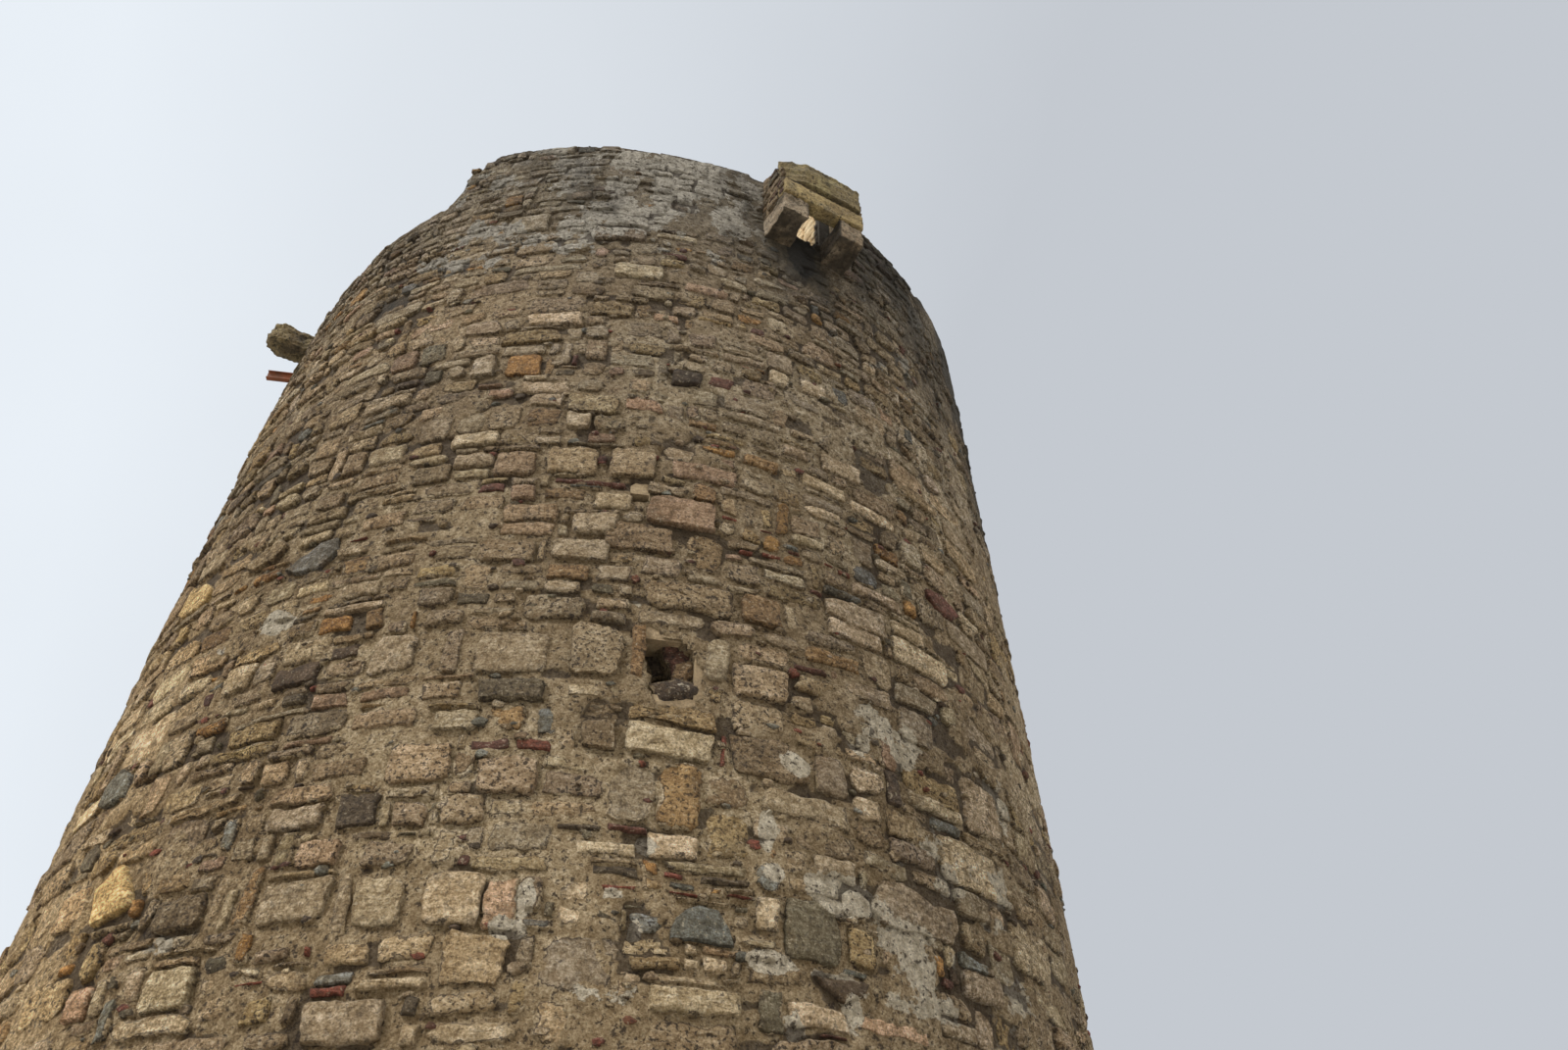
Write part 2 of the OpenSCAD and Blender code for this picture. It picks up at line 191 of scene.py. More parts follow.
def hit(px, py, out=0.02):
    """The point (u, v) of the outer face seen at a pixel, or None."""
    d = FORWARD + (px - MID_X) / FOCAL_PX * RIGHT - (py - MID_Y) / FOCAL_PX * UP
    d = d / np.linalg.norm(d)
    a0, b = BASE_RADIUS + out - BATTER * EYE[2], -BATTER * d[2]
    a = d[0] ** 2 + d[1] ** 2 - b * b
    half = EYE[0] * d[0] + EYE[1] * d[1] - a0 * b
    c = EYE[0] ** 2 + EYE[1] ** 2 - a0 * a0
    inside = half * half - a * c
    if inside < 0.0:
        return None
    p = EYE + (-half - math.sqrt(inside)) / a * d
    return math.atan2(p[0], -p[1]) * R_REF, p[2]


def warp(u, v):
    """Courses rise and dip along the wall."""
    p = np.stack([u, v, 0.0 * u], -1)
    du = 0.035 * value_noise(p * (1.3, 1.9, 1.0), 71)
    dv = 0.05 * value_noise(p * (0.55, 0.9, 1.0), 72) + 0.02 * value_noise(p * (2.1, 2.6, 1.0), 73)
    return u + du, v + dv


def fine_warp(u, v):
    """Small bends that neighbouring stones share, so that no edge is straight."""
    p = outer(u, v, np.zeros(len(u)))
    du = 0.017 * value_noise(p * 5.3, 81) + 0.010 * value_noise(p * 14.0, 82)
    dv = 0.017 * value_noise(p * 5.3, 83) + 0.010 * value_noise(p * 14.0, 84)
    return u + du, v + dv


def unwarp(u, v):
    """The places that warp brings to (u, v)."""
    a, b = np.asarray(u, float), np.asarray(v, float)
    x, y = a, b
    for _ in range(4):
        wx, wy = warp(x, y)
        x, y = x - (wx - a), y - (wy - b)
    return x, y


# ---------------------------------------------------------------- meshes


def link(name, data):
    """A new object in the scene."""
    obj = bpy.data.objects.new(name, data)
    bpy.context.scene.collection.objects.link(obj)
    return obj


def coords(mesh, kind="co"):
    """The positions, or with "normal" the normals, of a mesh's vertices, one row each."""
    values = np.zeros(len(mesh.vertices) * 3)
    mesh.vertices.foreach_get(kind, values)
    return values.reshape(-1, 3)


def paint(mesh, layers):
    """layers: colour attributes by name, each with three or four values a vertex."""
    for label, values in layers.items():
        layer = mesh.color_attributes.new(label, "FLOAT_COLOR", "POINT")
        flat = np.ones((len(values), 4), np.float32)
        flat[:, : values.shape[1]] = values
        layer.data.foreach_set("color", flat.ravel())


def piece(mesh, material, node=None):
    """Puts a mesh on the tower in one material; node: the CAD node that it stands for."""
    mesh.materials.clear()
    mesh.materials.append(material)
    mesh.update()
    obj = link(mesh.name, mesh)
    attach(obj, "root")
    if node:
        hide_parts(node)
    return obj


def new_piece(name, verts, faces, material, sharp, layers):
    """A smooth piece from vertices and faces, with edges where it turns more than sharp degrees."""
    mesh = bpy.data.meshes.new(name)
    mesh.from_pydata(verts.tolist(), [], faces)
    paint(mesh, layers)
    mesh.polygons.foreach_set("use_smooth", np.ones(len(mesh.polygons), bool))
    mesh.set_sharp_from_angle(angle=math.radians(sharp))
    piece(mesh, material)


def slab_faces(nu, nv, coarse=1):
    """Faces of a closed slab: nu x nv cells in front, fewer by coarse behind, and four sides."""
    wide, back_wide, offset = nu + 1, nu // coarse + 1, (nu + 1) * (nv + 1)
    f = lambda i, j: j * wide + i
    b = lambda i, j: offset + j * back_wide + i
    cu, cv = nu // coarse, nv // coarse
    faces = [
        (f(i, j), f(i + 1, j), f(i + 1, j + 1), f(i, j + 1)) for j in range(nv) for i in range(nu)
    ]
    faces += [
        (b(i, j), b(i, j + 1), b(i + 1, j + 1), b(i + 1, j)) for j in range(cv) for i in range(cu)
    ]
    for i in range(cu):
        run = range(i * coarse, (i + 1) * coarse + 1)
        faces.append(tuple(f(k, 0) for k in reversed(run)) + (b(i, 0), b(i + 1, 0)))
        faces.append(tuple(f(k, nv) for k in run) + (b(i + 1, cv), b(i, cv)))
    for j in range(cv):
        run = range(j * coarse, (j + 1) * coarse + 1)
        faces.append(tuple(f(0, k) for k in run) + (b(0, j + 1), b(0, j)))
        faces.append(tuple(f(nu, k) for k in reversed(run)) + (b(cu, j), b(cu, j + 1)))
    return faces


# ---------------------------------------------------------------- colour over the wall


def linear(rgb):
    """A colour of 0 to 255 a channel in the linear values that Blender takes."""
    c = np.asarray(rgb, float) / 255.0
    return np.where(c <= 0.04045, c / 12.92, ((c + 0.055) / 1.055) ** 2.4)


MORTAR_TONES = (linear((158, 139, 109)), linear((139, 119, 89)), linear((178, 160, 130)))


def stain(u, v):
    """How dark the weather has left the face, 0 to 1.6."""
    az = np.degrees(u / R_REF)
    p = np.stack([u, v * 0.45, 0.0 * u], -1)
    rough = fbm(p, 2.6, 3, 11)
    aside = np.abs(az - BOX_DEG + 0.4)
    under_box = 0.8 * np.exp(-((aside / 5.2) ** 2)) * smooth(9.3, 10.9, v)
    under_box = np.maximum(under_box, 1.5 * np.exp(-((aside / 3.1) ** 4)) * smooth(10.15, 10.95, v))
    upper_right = smooth(22.0, 44.0, az) * smooth(7.5, 10.2, v) * 0.62
    upper = smooth(9.8, 11.4, v) * 0.3
    shoulder = np.exp(-(((az + 40.0) / 5.0) ** 2) - ((v - 10.15) / 0.28) ** 2) * 0.75
    total = np.maximum(np.maximum(under_box, upper_right), shoulder) + upper
    return np.clip(total * (1.0 + 0.9 * rough) + 0.12 * smooth(0.25, 0.7, rough), 0.0, 1.6)


def tone_and_painted_light(u, v):
    """The face's tones and painted light: lighter and warmer to the left, lighter and greyer to the
    right, lighter on the flanks, low down and at the foot, greyer and darker at the top.
    """
    az = azimuth(u)
    # painted light: the flanks and the upper middle are made lighter
    edges = 0.52 * smooth(-38.0, -52.0, az) * smooth(8.4, 6.4, v)
    edges = edges + 0.28 * smooth(20.0, 38.0, az) * smooth(5.6, 7.2, v)
    edges = edges + (0.06 + 0.28 * smooth(-12.0, -28.0, az)) * smooth(8.6, 9.6, v)
    # painted light: the foot is made lighter, most in the middle
    foot = smooth(6.2, 4.4, v) * (0.08 + 0.10 * np.exp(-(((az - 2.0) / 20.0) ** 2)))
    colour = np.full((len(az), 3), 1.02)
    for share, change in (
        (smooth(-5.0, -50.0, az), (0.11, 0.05, -0.06)),  # left
        (smooth(15.0, 50.0, az), (0.09, 0.09, 0.10)),  # right
        (edges, (1.0, 1.0, 1.0)),
        (smooth(8.6, 5.2, v), (0.16, 0.16, 0.15)),  # low
        (smooth(7.8, 9.4, v), (-0.01, 0.01, 0.06)),  # from the middle up
        (foot, (1.0, 1.0, 1.0)),
        (smooth(9.5, 11.6, v), (-0.32, -0.26, -0.16)),  # top
    ):
        colour = colour * (1.0 + share[:, None] * change)
    return colour


# ---------------------------------------------------------------- stones

# Tones of the stones by code letter, from pale (p, w) to brick (r, R) and blue-grey (B).
TONES = {
    "p": (148, 132, 107), "w": (158, 142, 116), "m": (135, 117, 92), "t": (136, 117, 89),
    "o": (124, 99, 66), "O": (136, 101, 56), "k": (144, 118, 94), "r": (88, 56, 44),
    "R": (108, 60, 45), "d": (82, 70, 53), "b": (70, 56, 41), "g": (92, 83, 64),
    "B": (104, 102, 93), "c": (168, 144, 101), "y": (133, 113, 79), "n": (142, 126, 101),
    "u": (108, 91, 67),
}
FILL_TONES = "tttttmmmmmmpppnnnnnyytwokgOuBn"
# how pitted a stone of each tone is
PITS = {"m": 0.7, "y": 0.9, "u": 0.6, "t": 0.45, "o": 0.5, "d": 0.5, "n": 0.2, "p": 0.25}

# Stones that the photograph shows clearly: left, right, top and bottom pixel, and tone.
HEROES = """
500 550 459 488 t|550 618 453 485 t|618 675 455 490 t|550 655 487 496 r|487 517 492 503 r
516 549 494 512 k|510 573 513 532 t|550 600 496 511 o|602 647 498 520 p|581 633 521 546 p
505 568 532 547 k|484 550 551 573 m|559 627 547 573 p|555 603 574 592 o|617 698 530 568 u
462 503 602 617 d|370 433 643 690 p|445 477 640 687 m|477 568 642 687 n|577 640 633 693 m
640 663 633 693 o|527 602 603 633 m|700 737 582 600 p|325 363 626 648 O|367 394 619 644 o
418 429 623 640 O|429 477 619 640 m|415 455 450 469 t|415 465 470 497 t|362 413 477 503 t
387 427 503 518 t|363 418 520 545 t|390 440 545 557 t|343 378 555 572 p|380 427 560 583 t
342 395 588 613 p|460 512 438 458 p|597 633 440 452 k|574 607 420 438 p|700 735 427 442 o
272 330 673 708 b|332 370 655 675 b|313 359 703 726 k|361 420 698 716 k|425 473 693 716 m
483 562 690 715 d|575 617 694 713 p|352 430 719 748 t|437 494 722 748 p|478 523 753 765 r
523 567 752 767 R|480 554 770 812 m|387 467 754 799 m|588 633 732 768 u|267 335 816 850 w
337 393 803 847 d|396 440 815 845 m|447 500 810 842 m|402 425 846 852 g|295 353 853 888 m
362 427 855 885 m|250 345 892 950 n|350 420 889 950 n|424 500 889 948 n|219 247 905 950 w
583 652 855 877 p|567 615 838 850 d|600 652 882 898 d|617 665 838 852 r|612 650 901 911 R
227 290 732 768 y|262 300 773 803 t|312 380 770 798 u|213 258 821 833 o|734 743 747 783 R
924 984 802 846 p|900 920 783 827 b|905 960 850 893 m|829 877 868 908 p|803 826 864 897 m
808 846 674 693 r|676 698 887 897 R|675 724 908 915 R|741 768 912 920 R|812 887 660 688 o
902 978 652 698 p|745 808 672 722 m|635 733 733 780 p|657 715 845 880 p|713 767 891 909 d
770 798 912 955 p|838 857 738 757 p|684 755 466 499 k|658 734 502 545 k|711 752 451 468 O
737 798 416 444 p|799 828 411 428 p|800 838 439 452 m|798 828 452 474 p|759 796 462 484 o
836 880 460 497 p|818 866 480 514 n|867 916 508 546 p|815 866 517 538 p|800 848 546 563 p
736 753 525 533 R|774 790 538 546 R|751 771 560 567 R|774 800 563 571 R|801 820 561 568 r
838 853 573 580 R|854 868 578 590 R|824 843 601 610 r|868 920 592 630 p|845 903 626 668 p
921 935 611 633 O|903 948 634 660 n|755 800 603 645 o|510 578 334 352 y|513 557 361 385 O
476 511 361 387 w|536 600 318 332 p|601 648 306 325 y|665 693 318 330 k|711 750 321 335 y
684 718 376 397 b|722 750 381 400 r|565 590 375 383 d|486 515 390 397 k|583 592 361 372 r
528 585 389 402 p|736 780 358 378 p|781 808 376 400 p|810 850 386 410 n|765 782 332 345 r
672 700 261 275 y|622 680 268 287 p|691 750 289 305 k|615 628 283 290 u|827 835 310 322 B
665 715 236 250 n|600 662 229 246 m|515 565 217 240 p|762 800 301 318 y|396 430 356 384 k
430 455 376 394 g|400 430 386 400 b|361 430 402 424 p|426 455 412 430 m|352 395 432 454 p
462 510 460 480 p|346 378 457 489 t|310 360 512 540 t|250 275 520 526 w|350 380 548 553 R
300 345 541 558 p|256 290 581 599 O|237 255 598 607 O|301 340 590 611 p|308 330 616 627 o
223 268 672 714 p|226 262 718 732 w|263 285 711 725 w|286 313 708 725 d|205 220 701 729 r
216 225 689 698 O|195 223 746 774 p|286 340 747 764 k|190 243 776 800 m|205 235 804 814 w
257 270 819 828 o|243 260 801 809 d|145 160 790 800 u|135 160 831 844 m|203 222 868 877 d
155 200 886 914 y|150 217 906 957 u|130 148 916 939 O|152 225 963 981 m|257 300 963 984 m
320 380 959 989 t|307 319 963 977 R|135 207 982 1040 w|196 237 1011 1044 m|233 270 1001 1010 R
312 355 1002 1018 R|357 437 996 1012 n|239 281 1014 1049 y|284 307 1014 1044 u|295 400 1017 1069 n
405 430 1016 1040 d|403 430 1044 1070 n|60 100 1004 1049 k|101 130 971 995 k|118 138 946 960 u
55 75 981 1000 O|640 697 971 992 y|698 715 976 992 p|716 745 974 996 p|738 757 998 1005 w
657 765 1001 1043 n|800 868 1019 1060 p|872 950 1032 1071 k|958 1000 1036 1071 p|980 1025 986 1034 p
946 966 971 1000 O|968 980 986 1008 b|830 870 1056 1065 r|800 858 906 992 g|862 895 940 992 y
465 483 869 885 r|553 568 916 935 g|604 625 922 940 g|630 643 926 950 u|750 765 923 933 g
"""
# Stones with an outline of their own: tone, then the corner pixels.
OUTLINES = """
u 745 750 795 757 825 780 828 797 795 800 752 785
B 684 950 690 936 701 927 716 923 733 930 745 948 749 965 735 965 685 958
p 890 928 900 897 918 897 950 922 972 928 977 950 972 966 940 955 900 940
c 129 880 135 905 133 926 92 947 100 910
B 291 583 330 556 345 550 347 562 325 582 298 586
t 252 582 270 568 291 550 296 556 280 574 262 584
c 184 630 196 606 215 597 218 603 204 622 188 632
b 831 998 870 997 888 1002 880 1019 858 1022 840 1008
y 93 893 101 880 120 867 122 872 108 890 96 896
B 102 826 112 806 130 785 135 790 128 812 108 826
r 944 600 958 604 977 627 972 632 956 622 946 608
p 842 612 856 613 903 630 902 652 868 640 845 626
g 80 888 90 870 100 863 101 874 92 887 84 890
"""


def rows_of(rows):
    """The words of each row; a row ends with its line or with a bar."""
    return [row.split() for row in rows.replace("\n", "|").split("|") if row.split()]


def pick(rng, codes):
    """One of the code letters; those that come more than once are picked more often."""
    return codes[rng.integers(len(codes))]


class Stones:
    """Collects stones as arrays of (u, v, h) with faces, one closed shell each."""

    def __init__(self, surface, seed):
        self.surface = surface
        self.rng = np.random.default_rng(seed)
        self.points, self.rough, self.tones, self.marks, self.faces = [], [], [], [], []
        self.count = 0

    def add(self, outline, height, tone, pits=0.4, bevel=0.02, detail=2, buried=-0.02, dome=0.25):
        """outline: corners (u, v) anticlockwise as seen from outside; height: how proud."""
        n = len(outline)
        centre = outline.mean(0)
        local = outline - centre
        half = np.maximum(np.abs(local).max(0), 0.008)
        inset = np.clip(1.0 - bevel / half, 0.35, 0.97)
        inner_ring = np.minimum(np.clip(1.0 - (bevel + 0.03) / half, 0.25, 0.93), inset * 0.85)
        rings = [
            (local, buried, 1.0), (local, height * 0.6, 1.0), (local * inset, height * 0.96, 0.75),
            (local * inner_ring, height * (1.0 + 0.6 * dome), 0.0),
            (local * inner_ring * 0.5, height * (1.0 + dome), 0.0),
        ][: detail + 2]
        tilt = self.rng.normal(0.0, 0.07 * height, 2)
        rows, edges = [], []
        for xy, h, edge in rings:
            slope = (xy / half) @ tilt if h > 0 else 0.0
            rows.append(np.column_stack([xy + centre, np.full(n, h) + slope]))
            edges.append(np.full(n, edge))
        rows.append(np.array([[centre[0], centre[1], height * (1.0 + dome)]]))
        edges.append(np.zeros(1))
        start, last = self.count, self.count + (len(rings) - 1) * n
        for a in range(start, last, n):
            for i in range(n):
                i2 = (i + 1) % n
                self.faces.append((a + i, a + i2, a + n + i2, a + n + i))
        for i in range(n):
            self.faces.append((last + i, last + (i + 1) % n, last + n))
        self.faces.append(tuple(range(start + n - 1, start - 1, -1)))
        made = np.concatenate(rows)
        total = len(made)
        # painted shade: a stone's sides darken down towards the joints
        painted_side_shade = np.ones(total)
        painted_side_shade[:n], painted_side_shade[n : 2 * n] = 0.45, 0.8
        amplitude = np.full(total, min(0.2 * height + 0.004, 0.012) * (0.6 + 0.9 * pits))
        amplitude[:n] = 0.0
        self.points.append(made)
        self.rough.append(amplitude)
        self.tones.append(np.column_stack([np.outer(painted_side_shade, tone), np.concatenate(edges)]))
        self.marks.append(np.tile((0.0, pits, 0.0), (total, 1)))
        self.count += total

    def build(self, name, material, shade=True, sink=0.0):
        """Makes the piece; sink: how far stones go in where later mortar covers them."""
        if not self.count:
            return
        uvh = np.concatenate(self.points)
        amplitude = np.concatenate(self.rough)
        p = self.surface(*uvh.T)
        if sink:
            drop = sink * flush_mask(uvh[:, 0], uvh[:, 1], p)
            uvh[:, 2] -= np.where(uvh[:, 2] > 0.0, np.minimum(drop, 0.8 * uvh[:, 2]), 0.0)
        uvh[:, 2] += amplitude * (fbm(p, 9.0, 2, 5) * 0.9 + fbm(p, 31.0, 2, 6) * 0.8)
        uvh[:, 0] += amplitude * 0.5 * value_noise(p * 23.0, 8)
        uvh[:, 1] += amplitude * 0.5 * value_noise(p * 23.0, 9)
        p = self.surface(*uvh.T)
        p[:, 2] = np.maximum(p[:, 2], 0.001)
        u, v = uvh[:, 0], uvh[:, 1]
        tones = np.concatenate(self.tones)
        marks = np.concatenate(self.marks)
        beds = np.tile((*MORTAR_TONES[1], 0.5), (len(p), 1))
        if shade:
            tones[:, :3] *= tone_and_painted_light(u, v)
            tones[:, 3] *= 1.0 - 0.7 * open_joints(u, v, p)
            marks[:, 0] = stain(u, v)
            marks[:, 2] = lime_mask(u, v, p)
            beds = np.column_stack([mortar_tone(u, v, p), roughness_mask(u)])
        layers = {"tone": tones, "mark": marks, "bed": beds}
        new_piece(name, p, self.faces, material, 48.0, layers)


def shrunk(a, b, low, high, side, end):
    """A rectangle made smaller by side on the left and right and by end below and above."""
    return a + side, b - side, low + end, high - end


def stone_outline(rect, rng, spacing=0.06, irregular=0.12, chamfer=0.16):
    """A rough four-sided outline in the rectangle, with cut corners and wavy sides."""
    u0, u1, v0, v1 = rect
    w, h = u1 - u0, v1 - v0
    corners = np.array([[u0, v0], [u1, v0], [u1, v1], [u0, v1]])
    inward = np.array([[1, 1], [-1, 1], [-1, -1], [1, -1]])
    pull = rng.random((4, 2)) * (w, h) * irregular
    if rng.random() < 0.25:
        pull[rng.integers(4)] *= 2.6
    corners = corners + inward * np.minimum(pull, 0.09)
    points = []
    small = min(w, h)
    for i in range(4):
        a, b = corners[i], corners[(i + 1) % 4]
        length = np.linalg.norm(b - a)
        cut = min(small * chamfer * (0.5 + rng.random()), 0.05)
        f0 = cut / max(length, 1e-6)
        count = max(1, int(round(length / spacing)))
        ts = np.linspace(f0, 1.0 - f0, count + 1)
        ts[1:-1] += (rng.random(len(ts[1:-1])) - 0.5) * 0.4 / count
        normal = np.array([b[1] - a[1], a[0] - b[0]]) / max(length, 1e-6)
        bow = rng.normal(0.0, 0.02) * small
        ragged = min(0.012, 0.07 * small)
        for t in ts:
            wave = 4.0 * bow * t * (1.0 - t) - rng.random() ** 2 * ragged
            points.append(a + (b - a) * t + normal * wave)
    return np.array(points)


def resample(corners, spacing, rng):
    """Points along a traced outline, made anticlockwise."""
    x, y = corners.T
    if np.sum(x * np.roll(y, -1) - np.roll(x, -1) * y) < 0.0:
        corners = corners[::-1]
    points = []
    for a, b in zip(corners, np.roll(corners, -1, 0)):
        count = max(1, int(np.linalg.norm(b - a) / spacing))
        for i in range(count):
            points.append(a + (b - a) * (i / count) + rng.normal(0.0, 0.003, 2))
    return np.array(points)


BIN = 0.02  # width of the bins in which stones are laid
LEAST_ROOM = 0.035  # less height than this over a bin is left to the mortar
NEARLY_FULL = 0.03  # a bin that comes this near to its limit is done
MOST_STEPS = 60000


def lay(u0, u1, v0, ceiling, blocks, size_at, rng):
    """Lays stones from the bottom up in rough courses around the blocks; returns their places."""
    count = int(round((u1 - u0) / BIN))
    us = u0 + (np.arange(count) + 0.5) * BIN
    top = np.full(count, v0) + 0.05 * value_noise(np.stack([us * 1.7, us * 0, us * 0], -1), 31)
    top = np.maximum(top, v0)
    limit = ceiling(us)
    blocks_at = [[] for _ in range(count)]
    for left, right, low, high in blocks:
        if right > u0 and left < u1:
            first = max(0, int((left - u0) / BIN))
            for i in range(first, min(count, int(math.ceil((right - u0) / BIN)))):
                blocks_at[i].append((low, high))
    for rows in blocks_at:
        rows.sort()
    done = top >= limit - NEARLY_FULL
    placed = []

    def room(i, base):
        """Free height over bin i from base, or 0 where it is blocked."""
        for low, high in blocks_at[i]:
            if base < high - 0.012 and low < base + 0.03:
                return 0.0
            if low >= base:
                return min(low, limit[i]) - base
        return limit[i] - base

    def level(i, base):
        """Whether bin i carries on the ledge at base."""
        return not done[i] and abs(top[i] - base) < 0.02 and room(i, base) > LEAST_ROOM

    def fill(first, last, height):
        top[first:last] = height
        done[first:last] = top[first:last] >= limit[first:last] - NEARLY_FULL

    for _ in range(MOST_STEPS):
        if done.all():
            break
        i = int(np.where(done, 1e9, top).argmin())
        base = top[i]
        if room(i, base) <= LEAST_ROOM:
            raised = [b for a, b in blocks_at[i] if b > base + 1e-6 and a < base + 0.08]
            fill(i, i + 1, max(raised) if raised else limit[i])
            continue
        a = b = i
        while a > 0 and level(a - 1, base):
            a -= 1
        while b < count - 1 and level(b + 1, base):
            b += 1
        run = (b - a + 1) * BIN
        mean_w, mean_h = size_at((us[a] + us[b]) / 2, base)
        left = top[a - 1] if a > 0 else 1e9
        right = top[b + 1] if b < count - 1 else 1e9
        if run < 0.07:
            rise = min(x for x in (left, right, base + 0.1) if x > base + 0.004)
            if rise - base > 0.06 and run > 0.055 and rng.random() < 0.45:
                placed.append((us[a] - BIN / 2, us[b] + BIN / 2, base, rise))
            fill(a, b + 1, rise)
            continue
        kind = rng.random()
        scale_w, scale_h = 1.0, 1.0
        if kind < 0.12:
            scale_w, scale_h = 0.85, 0.5
        elif kind < 0.22:
            scale_w, scale_h = 0.5, 0.8
        elif kind > 0.86:
            scale_w, scale_h = 1.4, 1.3
        w = max(mean_w * scale_w * math.exp(rng.normal(0.0, 0.28)), 0.08)
        h = max(mean_h * scale_h * math.exp(rng.normal(0.0, 0.22)), 0.045)
        if run - w < 0.1:
            w = run if run < w * 1.5 else run * 0.5
        bins = min(b - a + 1, max(3, int(round(w / BIN))))
        from_left = left <= right if left != right else rng.random() < 0.5
        s = a if from_left else b - bins + 1
        free = max(min(room(k, base) for k in range(s, s + bins)), 0.04)
        near = [x - base for x in (left, right) if 0.6 * h < x - base < 1.45 * h]
        if near and rng.random() < 0.8:
            h = min(near, key=lambda x: abs(x - h))
        if free < h + 0.06:
            h = free if free < h * 1.5 else free * 0.5
        h = min(h, free)
        sliver = (us[s + bins - 1] - us[s] + BIN) < 0.6 * h and bins * BIN < 0.1
        if (h > 0.055 or rng.random() < 0.3) and not sliver:
            placed.append((us[s] - BIN / 2, us[s + bins - 1] + BIN / 2, base, base + h))
        fill(s, s + bins, base + h)
    return placed


def grow(places, blocks, u0, u1, v0, ceiling, cell=0.01, reach=9):
    """Lets the laid stones grow into free gaps, a little at a time, until they meet."""
    nu, nv = int((u1 - u0) / cell) + 1, int((HIGHEST - v0) / cell) + 2
    taken = np.zeros((nu, nv), bool)
    limit = ceiling(u0 + (np.arange(nu) + 0.5) * cell)
    taken |= (v0 + (np.arange(nv) + 0.5) * cell)[None, :] > limit[:, None]

    def cells(a, b, low, high):
        i, j = int(round((a - u0) / cell)), int(round((b - u0) / cell))
        k, m = int(round((low - v0) / cell)), int(round((high - v0) / cell))
        return [min(max(i, 0), nu), min(max(j, 0), nu), min(max(k, 0), nv), min(max(m, 0), nv)]

    for block in blocks:
        i, j, k, m = cells(*block)
        taken[i:j, k:m] = True
    boxes = [cells(*place) for place in places]
    for i, j, k, m in boxes:
        taken[i:j, k:m] = True
    for _ in range(reach):
        for box in boxes:
            i, j, k, m = box
            if i > 0 and not taken[i - 1, k:m].any():
                taken[i - 1, k:m] = True
                box[0] = i = i - 1
            if j < nu and not taken[j, k:m].any():
                taken[j, k:m] = True
                box[1] = j = j + 1
            if k > 0 and not taken[i:j, k - 1].any():
                taken[i:j, k - 1] = True
                box[2] = k = k - 1
            if m < nv and not taken[i:j, m].any():
                taken[i:j, m] = True
                box[3] = m + 1
    return [(u0 + i * cell, u0 + j * cell, v0 + k * cell, v0 + m * cell) for i, j, k, m in boxes]


def traced_rect(x0, x1, y0, y1):
    """The rectangle on the wall that fills these pixels, or None off the wall."""
    spot = hit((x0 + x1) / 2, (y0 + y1) / 2)
    if spot is None:
        return None
    u, v = spot
    d = 0.05
    here = project(outer(np.array([u, u + d, u]), np.array([v, v, v + d]), np.full(3, 0.02)))
    a, c = np.abs(here[1] - here[0]) / d
    b, e = np.abs(here[2] - here[0]) / d
    det = a * e - b * c
    w, h = x1 - x0, y1 - y0
    wide = (e * w - b * h) / det if abs(det) > 1e3 else -1.0
    tall = (a * h - c * w) / det if abs(det) > 1e3 else -1.0
    if wide < 0.4 * w / a or tall < 0.3 * h / e:
        wide, tall = 0.75 * w / a, 0.6 * h / e
    wide, tall = min(wide, 1.1 * w / a), min(tall, 1.1 * h / e)
    return u - wide / 2, u + wide / 2, v - tall / 2, v + tall / 2


def hero_places():
    """Every traced stone as (outline in final u, v; blocking rectangle; tone)."""
    found = []
    rng = np.random.default_rng(404)
    for words in rows_of(HEROES):
        rect = traced_rect(*(float(x) for x in words[:4]))
        if rect:
            outline = stone_outline(shrunk(*rect, 0.006, 0.006), rng, 0.042, 0.06, 0.1)
            found.append((outline, rect, words[4]))
    for words in rows_of(OUTLINES):
        spots = [hit(x, y) for x, y in np.array(words[1:], float).reshape(-1, 2)]
        if None not in spots:
            corners = np.array(spots)
            (u0, v0), (u1, v1) = corners.min(0), corners.max(0)
            found.append((resample(corners, 0.05, rng), (u0, u1, v0, v1), words[0]))
    kept = []
    for item in found:
        u0, u1, v0, v1 = item[1]
        area = (u1 - u0) * (v1 - v0)
        clash = 0.0
        for _, (a0, a1, b0, b1), _ in kept:
            shared = max(0.0, min(u1, a1) - max(u0, a0)) * max(0.0, min(v1, b1) - max(v0, b0))
            clash = max(clash, shared / min(area, (a1 - a0) * (b1 - b0)))
        if clash < 0.3:
            kept.append(item)
    return kept


# ---------------------------------------------------------------- holes in the outer face

CAVITY_DEPTH = 0.34
# the corner pixels of the large hole
CAVITY_PX = (
    (658, 636), (668, 640), (676, 650), (692, 652), (707, 665), (716, 684), (714, 699),
    (716, 712), (698, 720), (670, 717), (661, 701), (664, 688), (657, 668), (652, 648),
)
CAVITY = np.array([hit(x, y) for x, y in CAVITY_PX])
# the others: direction, middle height, half width, half height, depth
POCKETS = (
    (-3.0, 7.425, 0.055, 0.085, 0.4), (57.0, 8.685, 0.055, 0.085, 0.4),
    (180.8, 6.155, 0.17, 0.19, 0.34), (177.0, 7.425, 0.055, 0.085, 0.4),
    (-123.0, 8.685, 0.055, 0.085, 0.4),
)


def inside_polygon(u, v, corners):
    """Distance inside the polygon, 0 outside it."""
    within = np.zeros(len(u), bool)
    near = np.full(len(u), 1e9)
    for (x0, y0), (x1, y1) in zip(corners, np.roll(corners, -1, 0)):
        dx, dy = x1 - x0, y1 - y0
        within ^= ((y0 > v) != (y1 > v)) & (u < dx * (v - y0) / (dy if dy else 1e-9) + x0)
        t = np.clip(((u - x0) * dx + (v - y0) * dy) / (dx**2 + dy**2), 0, 1)
        near = np.minimum(near, np.hypot(u - x0 - t * dx, v - y0 - t * dy))
    return np.where(within, near, 0.0)


